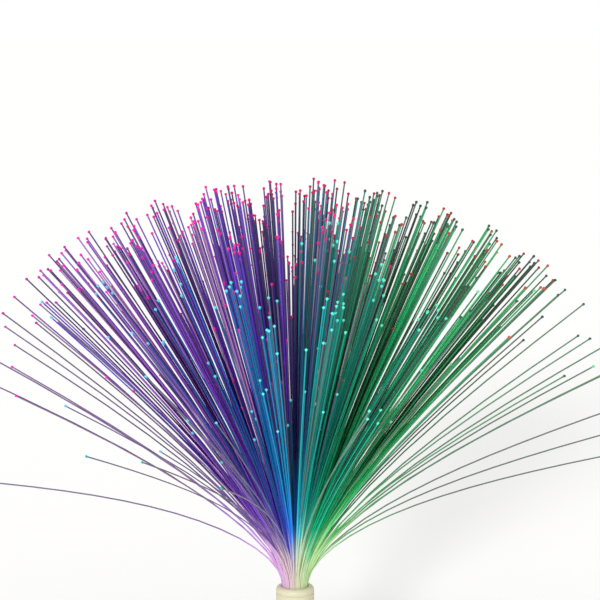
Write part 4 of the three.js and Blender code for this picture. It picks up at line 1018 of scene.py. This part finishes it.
@dataclass
class Collar:
    """The round collar that holds the bundle, with the keyed spigot that plugs into the base."""

    bore: float = 8.0 * MM
    spigot_radius: float = 9.8 * MM
    seat_height: float = 68.9 * MM
    corner_radius: float = 2.4 * MM
    lip_height: float = 4.2 * MM
    groove: float = 0.5 * MM
    mouth_radius: float = 0.7 * MM
    foot_chamfer: float = 0.5 * MM
    key_half_width: float = 1.5 * MM
    key_depth: float = 1.2 * MM
    key_low: float = 46.6 * MM
    key_edge: float = 0.25 * MM
    steps: int = 128

    def build(self) -> None:
        """Spins the collar with its spigot, and adds the key."""
        low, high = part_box("spray_collar")
        radius, top = high[0], high[2]
        lip = top - self.lip_height
        chamfer, corner, mouth = self.foot_chamfer, self.corner_radius, self.mouth_radius
        profile = [(self.bore, low[2]), (self.spigot_radius - chamfer, low[2]),
                   (self.spigot_radius, low[2] + chamfer), (self.spigot_radius, self.seat_height),
                   (radius - chamfer, self.seat_height), (radius, self.seat_height + chamfer),
                   (radius, lip - self.groove), (radius - self.groove, lip), (radius, lip + self.groove),
                   *arc((radius - corner, top - corner), corner, 0, QUARTER_TURN, steps=10),
                   *arc((self.bore + mouth, top - mouth), mouth, QUARTER_TURN, HALF_TURN)]
        piece = spun("collar_ring", profile, self.steps)
        key = middle_block("collar_key", self.key_half_width, (self.spigot_radius - chamfer, self.key_low),
                           (self.spigot_radius + self.key_depth, self.seat_height + chamfer / 2))
        soften(key, self.key_edge)
        weld(piece, key)
        smooth(piece)
        install(piece, Body.SPRAY, "shell_plastic", "spray_collar")


# The base


@dataclass
class Screws:
    """The cross-recess screws: one is modelled for each length and copied to its places.

    The dome's shares are of the head's radius and of the dome's height, the rim's of that height. The
    thread's are of its pitch, and the point's of the shank's radius.
    """

    head_radius: float = 2.6 * MM
    head_height: float = 1.2 * MM
    head_edge: float = 0.1 * MM
    shank_radius: float = 1.2 * MM
    dome: float = 0.35 * MM
    dome_shares: tuple[Pair, ...] = ((0.0, 0.0), (0.5, 0.0), (0.8, 0.2))
    rim_shares: Pair = (0.8, 1.4)
    recess_reach: float = 1.5 * MM
    recess_half_width: float = 0.28 * MM
    recess_depth: float = 0.8 * MM
    thread_pitch: float = 0.8 * MM
    thread_depth: float = 0.18 * MM
    thread_shares: tuple[float, ...] = (0.1, 0.5, 0.9)
    point_shares: Pair = (0.5, 0.6)
    steps: int = 32
    shading_angle: float = math.radians(30)

    def build(self) -> None:
        """Builds the base screws, the door screw, the board's screws and the motor's."""
        for nodes, upside_down in ((numbered("base_screw", 4), False), (["battery_door_screw"], False),
                                   (numbered("control_board_screw", 2), True),
                                   (numbered("motor_screw", 2), True)):
            low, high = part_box(nodes[0])
            master = self._master(high[2] - low[2])
            for node in nodes:
                low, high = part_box(node)
                place = (*centre_of(node), high[2] if upside_down else low[2])
                twin = copied(master, f"{node}_turned", place, HALF_TURN if upside_down else 0.0)
                install(twin, rides_on(node), "screw_steel", node)
            discard(master)

    def _master(self, height: float) -> Piece:
        """Spins one screw that stands on its head at the origin, with its thread and its recess."""
        rim, edge, shank = self.head_radius, self.head_edge, self.shank_radius
        root = shank - self.thread_depth
        profile = [*((across * rim, up * self.dome) for across, up in self.dome_shares),
                   (rim - edge, self.rim_shares[0] * self.dome), (rim, self.rim_shares[1] * self.dome),
                   (rim, self.head_height - edge), (rim - edge, self.head_height)]
        threaded = height - 2 * shank - self.head_height
        turns = max(int(threaded / self.thread_pitch), 1)
        pitch = threaded / turns
        for i in range(turns):
            foot = self.head_height + i * pitch
            profile += [(radius, foot + share * pitch)
                        for radius, share in zip((root, shank, root), self.thread_shares)]
        profile += [(self.point_shares[0] * shank, height - self.point_shares[1] * shank), (0.0, height)]
        master = spun("screw_master", profile, self.steps)
        reach, width, depth = self.recess_reach, self.recess_half_width, self.recess_depth
        for half_x, half_y in ((reach, width), (width, reach)):
            cut(master, block("recess", (-half_x, -half_y, -depth), (half_x, half_y, depth)))
        smooth(master, self.shading_angle)
        return master


@dataclass
class Shell:
    """The base's shell: a flared skirt with a foot band, a domed shoulder, the neck and its socket."""

    wall: float = 2.2 * MM
    flare: float = 5 * MM
    edge: float = 0.25 * MM
    band_height: float = 5 * MM
    band_step: float = 0.8 * MM
    shoulder_height: float = 45.3 * MM
    neck_height: float = 6 * MM
    neck_radius: float = 12.9 * MM
    neck_fillet: float = 3 * MM
    neck_chamfer: float = 0.6 * MM
    socket_bore: float = 10.1 * MM
    socket_wall: float = 2 * MM
    socket_low: float = 46.6 * MM
    key_half_width: float = 1.8 * MM
    key_reach: float = 11.3 * MM
    boss_radius: float = 3.6 * MM
    boss_low: float = 5.8 * MM
    boss_height: float = 10.5 * MM
    hole_top: float = 14.3 * MM
    pad_half_width: float = 10 * MM
    pad_half_height: float = 4.5 * MM
    pad_overlap: float = 0.5 * MM
    switch_height: float = 15 * MM
    switch_gap: float = 0.3 * MM
    slot_half_width: float = 3.9 * MM
    slot_half_height: float = 1.9 * MM
    steps: int = 128

    def build(self) -> None:
        """Spins the shell, adds its bosses and the switch's pad, and cuts the key's slot and the switch's."""
        low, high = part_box("base_shell")
        radius, top = high[0], high[2]
        piece = spun("shell_body", self._profile(low[2], top, radius), self.steps)
        soften(piece, self.edge)
        cut(piece, middle_block("key_cut", self.key_half_width, (0, self.socket_low - OVERRUN),
                                (self.key_reach, top + OVERRUN)))
        for node in numbered("base_screw", 4):
            place = centre_of(node)
            weld(piece, rod("boss", self.boss_radius, self.boss_low, self.boss_low + self.boss_height, place))
            cut(piece, rod("hole", SCREW_HOLE_RADIUS, self.boss_low - OVERRUN, self.hole_top, place))
        self._add_switch_pad(piece, radius)
        smooth(piece)
        install(piece, Body.BASE, "shell_plastic", "base_shell")

    def _profile(self, low: float, high: float, radius: float) -> Profile:
        """The shell's outline, outside from the foot to the neck and back down inside.

        Args:
            low: The height of its foot.
            high: The height of its neck.
            radius: The radius of its foot band.

        Returns:
            The outline's points.
        """
        band_top = low + self.band_height
        shoulder = radius - self.flare
        neck_foot = high - self.neck_height
        centre = self.neck_radius + self.neck_fillet
        socket = self.socket_bore + self.socket_wall
        outer_axes = (shoulder - centre, neck_foot - self.shoulder_height)
        inner_axes = (shoulder - self.wall - socket, neck_foot - self.wall - self.shoulder_height)
        return [(radius, low), (radius, band_top - self.band_step), (radius - self.band_step, band_top),
                *arc((centre, self.shoulder_height), outer_axes, 0, QUARTER_TURN, steps=20),
                *arc((centre, neck_foot + self.neck_fillet), self.neck_fillet, -QUARTER_TURN, -HALF_TURN,
                     steps=8)[1:],
                (self.neck_radius, high - self.neck_chamfer), (self.neck_radius - self.neck_chamfer, high),
                (self.socket_bore, high), (self.socket_bore, self.socket_low), (socket, self.socket_low),
                *arc((socket, self.shoulder_height), inner_axes, QUARTER_TURN, 0, steps=20),
                (radius - self.band_step - self.wall, band_top),
                (radius - self.wall, band_top - self.band_step), (radius - self.wall, low)]

    def _add_switch_pad(self, piece: Piece, radius: float) -> None:
        """Adds the flat pad inside the shell, which the switch stands against, and cuts the slot.

        Args:
            piece: The shell.
            radius: The radius of its foot band.
        """
        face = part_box("power_switch_body")[1][1] + self.switch_gap
        height, half = self.switch_height, self.pad_half_height
        pad = middle_block("pad", self.pad_half_width, (face, height - half), (radius, height + half))
        limit = rod("pad_limit", radius - self.flare + self.pad_overlap, height - 2 * half,
                    height + 2 * half, (0, 0), self.steps)
        combine(pad, limit, "INTERSECT")
        weld(piece, pad)
        cut(piece, middle_block("slot_cut", self.slot_half_width,
                                (face - OVERRUN, height - self.slot_half_height),
                                (radius + OVERRUN, height + self.slot_half_height)))


@dataclass
class Plate:
    """The base plate, which closes the shell from below and frames the battery bay."""

    gap: float = 0.3 * MM
    edge: float = 0.15 * MM
    recess_radius: float = 2.9 * MM
    recess_depth: float = 1.5 * MM
    foot_pin_radius: float = 2.3 * MM
    foot_pin_depth: float = 1.8 * MM
    door_boss_radius: float = 2.9 * MM
    door_boss_height: float = 4 * MM
    lug_half_width: float = 4.9 * MM
    lug_depth: float = 1.6 * MM
    lug_margin: float = 4.4 * MM
    hinge_pin_radius: float = 1.1 * MM
    hinge_pin_length: float = 1.6 * MM
    sides: int = 128

    def build(self) -> None:
        """Builds the plate with its bay, its holes for screws and feet, the door's boss and hinge bore."""
        low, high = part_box("base_plate")
        bottom, top = low[2], low[2] + PLATE_THICKNESS
        below, above = bottom - OVERRUN, top + OVERRUN
        piece = rod("plate_body", high[0], bottom, top, (0, 0), self.sides)
        cut(piece, middle_block("bay", BAY_HALF_WIDTH, (-BAY_HALF_LENGTH, below), (BAY_HALF_LENGTH, above)))
        lug_place = centre_of("battery_door_screw")
        weld(piece, rod("door_boss", self.door_boss_radius, top - self.gap, top + self.door_boss_height,
                        lug_place))
        for screw, foot in zip(numbered("base_screw", 4), numbered("rubber_foot", 4)):
            place = centre_of(screw)
            cut(piece, rod("hole", SCREW_HOLE_RADIUS, below, above, place))
            cut(piece, rod("recess", self.recess_radius, below, bottom + self.recess_depth, place))
            cut(piece, rod("pin_hole", self.foot_pin_radius, below, bottom + self.foot_pin_depth,
                           centre_of(foot)))
        cut(piece, middle_block("lug_recess", self.lug_half_width, (BAY_HALF_LENGTH - OVERRUN, below),
                                (lug_place[1] + self.lug_margin, bottom + self.lug_depth)))
        screw_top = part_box("battery_door_screw")[1][2]
        cut(piece, rod("lug_hole", SCREW_HOLE_RADIUS, bottom, screw_top + self.gap, lug_place))
        half = (top - bottom) / 2
        hinge = (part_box("battery_door")[0][1] + half, bottom + half)
        reach = BAY_HALF_WIDTH + self.hinge_pin_length
        cut(piece, rod("hinge_bore", self.hinge_pin_radius, -reach, reach, hinge, PIN_SIDES, lies=True))
        soften(piece, self.edge, 1)
        smooth(piece)
        install(piece, Body.BASE, "shell_plastic", "base_plate")


@dataclass
class Door:
    """The hinged battery door, with its lug and its grip grooves."""

    gap: float = 0.4 * MM
    edge: float = 0.15 * MM
    pin_radius: float = 0.8 * MM
    lug_half_width: float = 4.5 * MM
    lug_thickness: float = 1.3 * MM
    groove_count: int = 5
    groove_spacing: float = 2.4 * MM
    groove_half_length: float = 9 * MM
    groove_depth: float = 0.4 * MM

    def build(self) -> None:
        """Builds the door round its hinge's axis and cuts its grip grooves."""
        low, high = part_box("battery_door")
        bottom, top = low[2], low[2] + PLATE_THICKNESS
        radius = PLATE_THICKNESS / 2
        hinge = (low[1] + radius, bottom + radius)
        half_width, end = BAY_HALF_WIDTH - self.gap, BAY_HALF_LENGTH - self.gap
        piece = middle_block("door_panel", half_width, (hinge[0], bottom), (end, top))
        weld(piece, rod("barrel", radius, -half_width, half_width, hinge, PIN_SIDES, lies=True))
        weld(piece, middle_block("lug", self.lug_half_width, (end - OVERRUN, bottom),
                                 (high[1], bottom + self.lug_thickness)))
        cut(piece, rod("lug_hole", SCREW_HOLE_RADIUS, bottom - OVERRUN, top + OVERRUN,
                       centre_of("battery_door_screw")))
        half_groove = self.groove_spacing / 4
        for i in range(self.groove_count):
            middle = end - (i + 2) * self.groove_spacing
            cut(piece, middle_block("groove", self.groove_half_length,
                                    (middle - half_groove, bottom - OVERRUN),
                                    (middle + half_groove, bottom + self.groove_depth)))
        soften(piece, self.edge)
        weld(piece, rod("pins", self.pin_radius, low[0], high[0], hinge, PIN_SIDES, lies=True))
        smooth(piece)
        install(piece, Body.DOOR, "shell_plastic", "battery_door")


@dataclass
class Feet:
    """The four rubber feet, modelled once and copied."""

    rounding: float = 0.8 * MM
    edge: float = 0.2 * MM
    pin_radius: float = 2 * MM
    pin_length: float = 1.8 * MM
    dimple_radius: float = 3.2 * MM
    dimple_depth: float = 0.4 * MM
    steps: int = 48

    def build(self) -> None:
        """Spins one foot with a dimple below, and copies it to its places."""
        low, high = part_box("rubber_foot_1")
        radius, bottom, top = (high[0] - low[0]) / 2, low[2], high[2]
        shoulder = top - self.pin_length
        dimple = bottom + self.dimple_depth
        profile = [(0.0, dimple), (self.dimple_radius - self.dimple_depth, dimple),
                   (self.dimple_radius, bottom),
                   *arc((radius - self.rounding, bottom + self.rounding), self.rounding, -QUARTER_TURN, 0),
                   (radius, shoulder - self.edge), (radius - self.edge, shoulder),
                   (self.pin_radius, shoulder), (self.pin_radius, top), (0.0, top)]
        master = spun("foot_master", profile, self.steps)
        smooth(master)
        for node in numbered("rubber_foot", 4):
            install(copied(master, f"{node}_moulded", (*centre_of(node), 0)), Body.BASE, "foot_rubber", node)
        discard(master)


@dataclass
class Slider:
    """The power switch's slider, with ridges for the thumb on its tip."""

    groove_count: int = 2
    groove_half_width: float = 0.25 * MM
    groove_depth: float = 0.5 * MM
    margin: float = 0.25 * MM
    edge: float = 0.12 * MM

    def build(self) -> None:
        """Builds the slider and cuts its grooves."""
        low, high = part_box("power_switch_slider")
        piece = block("slider_stem", tuple(low), tuple(high))
        for i in range(self.groove_count):
            middle = low[0] + (high[0] - low[0]) * (i + 1) / (self.groove_count + 1)
            cut(piece, block("groove", (middle - self.groove_half_width, high[1] - self.groove_depth,
                                        low[2] - self.margin),
                             (middle + self.groove_half_width, high[1] + self.groove_depth,
                              high[2] + self.margin)))
        soften(piece, self.edge)
        smooth(piece)
        install(piece, Body.SLIDER, "black_plastic", "power_switch_slider")


@dataclass
class Cells:
    """The three AA cells, each with its jacket, its bare ends and its nub."""

    rounding: float = 0.8 * MM
    film: float = 0.15 * MM
    lap: float = 1.4 * MM
    nub_radius: float = 2.75 * MM
    nub_height: float = 1 * MM
    nub_edge: float = 0.2 * MM
    slack: float = 0.01 * MM
    steps: int = 64

    def build(self) -> None:
        """Spins one cell, copies it and turns each copy the way that its node lies."""
        low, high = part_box("battery_cell_1")
        length, radius = high[1] - low[1], (high[0] - low[0]) / 2
        shoulder = length - self.nub_height
        rim = radius - self.rounding
        bare = rim - self.lap
        profile = [(0.0, 0.0), (bare, 0.0), (bare, self.film), (rim, self.film),
                   *arc((rim, self.rounding), self.rounding, -QUARTER_TURN, 0)[1:],
                   *arc((rim, shoulder - self.rounding), self.rounding, 0, QUARTER_TURN),
                   (bare, shoulder), (bare, shoulder - self.film), (self.nub_radius, shoulder - self.film),
                   (self.nub_radius, length - self.nub_edge), (self.nub_radius - self.nub_edge, length),
                   (0.0, length)]
        master = spun("cell_master", profile, self.steps)
        smooth(master)
        for number, node in enumerate(numbered("battery_cell", 3)):
            self._place(master, node, number % 2 == 0, bare + self.slack)
        discard(master)

    def _place(self, master: Piece, node: str, nub_forward: bool, bare: float) -> None:
        """Copies the master to a node's place, and bares the steel of its ends.

        Args:
            master: The cell, standing on its flat end at the origin.
            node: The frame's node that the copy stands for.
            nub_forward: Whether its nub points to the front.
            bare: How far from its axis the steel reaches.
        """
        low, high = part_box(node)
        x, z = (low[0] + high[0]) / 2, (low[2] + high[2]) / 2
        place = (x, high[1] if nub_forward else low[1], z)
        twin = copied(master, f"{node}_wrapped", place, QUARTER_TURN if nub_forward else -QUARTER_TURN)
        install(twin, Body.BASE, "cell_jacket", node)
        twin.data.materials.append(SLOT_FINISHES["screw_steel"].material())
        points = [math.hypot(point.co.x - x, point.co.z - z) for point in twin.data.vertices]
        for face in twin.data.polygons:
            face.material_index = 1 if max(points[i] for i in face.vertices) <= bare else 0


@dataclass
class InnerParts:
    """The small parts inside the base: copies of the frame's solids, merged, with softened edges."""

    edge: float = 0.12 * MM
    flat_angle: float = math.radians(1)
    sharp_slots: tuple[str, ...] = ("lens_", "emitter_", "filter_", "lead_")

    def build(self) -> None:
        """Refines every node that no other piece stands for."""
        for entry in frame["record"]["subparts"]:
            node, slot = entry["node"], entry["material_slot"]
            if node in dressed:
                continue
            twin = copied(bpy.data.objects[node], f"{node}_finished")
            with editing(twin):
                bpy.ops.mesh.remove_doubles(threshold=WELD_REACH)
                bpy.ops.mesh.dissolve_limited(angle_limit=self.flat_angle)
            if not slot.startswith(self.sharp_slots):
                soften(twin, self.edge, 1)
            smooth(twin)
            install(twin, rides_on(node), slot, node)


# The camera, the light and the floor


@dataclass
class Studio:
    """The camera, the soft light and the white floor."""

    collar_pixel: Place = (295, 591)
    frame_pixels: float = 600
    frame_height: float = 354 * MM
    elevation: float = math.radians(8)
    distance: float = 1.2
    sensor: float = 36.0
    far_clip: float = 100
    floor_radius: float = 30.0
    floor_sides: int = 96
    floor_colour: tuple[float, ...] = (0.97, 0.965, 0.955, 1)
    floor_roughness: float = 0.9
    floor_glow: float = 0.18
    key_from: Triple = (-0.25, -1.0, 0.28)
    key_strength: float = 1.8
    key_softness: float = math.radians(9)
    sky_strength: float = 0.7

    def build(self) -> None:
        """Sets up the camera, the lights, the world and the floor."""
        self._camera()
        self._key_light()
        self._sky()
        self._floor()

    def _camera(self) -> None:
        """Aims the camera so that the collar's top stands at its pixel in the photograph."""
        collar_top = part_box("spray_collar")[1][2]
        per_pixel = self.frame_height / self.frame_pixels
        middle = self.frame_pixels / 2
        aim = Vector(((middle - self.collar_pixel[0]) * per_pixel, 0,
                      collar_top + (self.collar_pixel[1] - middle) * per_pixel / math.cos(self.elevation)))
        data = bpy.data.cameras.new("photo camera")
        data.sensor_width = self.sensor
        data.lens = self.sensor * self.distance / self.frame_height
        data.clip_end = self.far_clip
        camera = linked("photo_camera", data)
        back = Vector((0, -math.cos(self.elevation), math.sin(self.elevation)))
        camera.location = aim + back * self.distance
        camera.rotation_euler = (QUARTER_TURN - self.elevation, 0, 0)
        bpy.context.scene.camera = camera

    def _key_light(self) -> None:
        """Lights the lamp from the front left."""
        data = bpy.data.lights.new("key_light", "SUN")
        data.energy = self.key_strength
        data.angle = self.key_softness
        light = linked("key_light", data)
        light.rotation_euler = Vector(self.key_from).to_track_quat("Z", "Y").to_euler()

    def _sky(self) -> None:
        """Puts a white sky round the lamp, which lights it a little less than it looks."""
        world = bpy.data.worlds.new("white studio")
        world.use_nodes = True
        tree = world.node_tree
        sky = tree.nodes["Background"]
        feed(tree, sky, {"Color": WHITE, "Strength": self.sky_strength})
        seen = add_node(tree, "Background", {"Color": WHITE})
        path = add_node(tree, "LightPath")
        mix = add_node(tree, "MixShader", {0: path.outputs["Is Camera Ray"], 1: sky.outputs[0],
                                           2: seen.outputs[0]})
        feed(tree, tree.nodes["World Output"], {"Surface": mix.outputs[0]})
        bpy.context.scene.world = world
        bpy.context.scene.view_settings.view_transform = "Standard"

    def _floor(self) -> None:
        """Lays the floor, a wide white disc."""
        bpy.ops.mesh.primitive_circle_add(vertices=self.floor_sides, radius=self.floor_radius,
                                          fill_type="NGON")
        floor = settled("studio_floor")
        material, tree, shader = new_material("white floor")
        feed(tree, shader, {"Base Color": self.floor_colour, "Roughness": self.floor_roughness,
                            "Specular IOR Level": 0.0, "Emission Color": WHITE,
                            "Emission Strength": self.floor_glow})
        floor.data.materials.append(material)


def dress_frame() -> None:
    """Gives every node of the frame the finish of its slot."""
    for entry in frame["record"]["subparts"]:
        finish = SLOT_FINISHES.get(entry["material_slot"])
        node = bpy.data.objects.get(entry["node"])
        if finish and node:
            node.data.materials.clear()
            node.data.materials.append(finish.material())


def main() -> None:
    """Builds the studio and the lamp, the inner parts last."""
    logging.basicConfig(level=logging.INFO, format="%(name)s: %(message)s")
    Studio().build()
    dress_frame()
    for assembly in (Shell(), Plate(), Door(), Screws(), Feet(), Slider(), Cells(), Collar(), FibreSpray(),
                     InnerParts()):
        assembly.build()


if __name__ == "__main__":
    main()
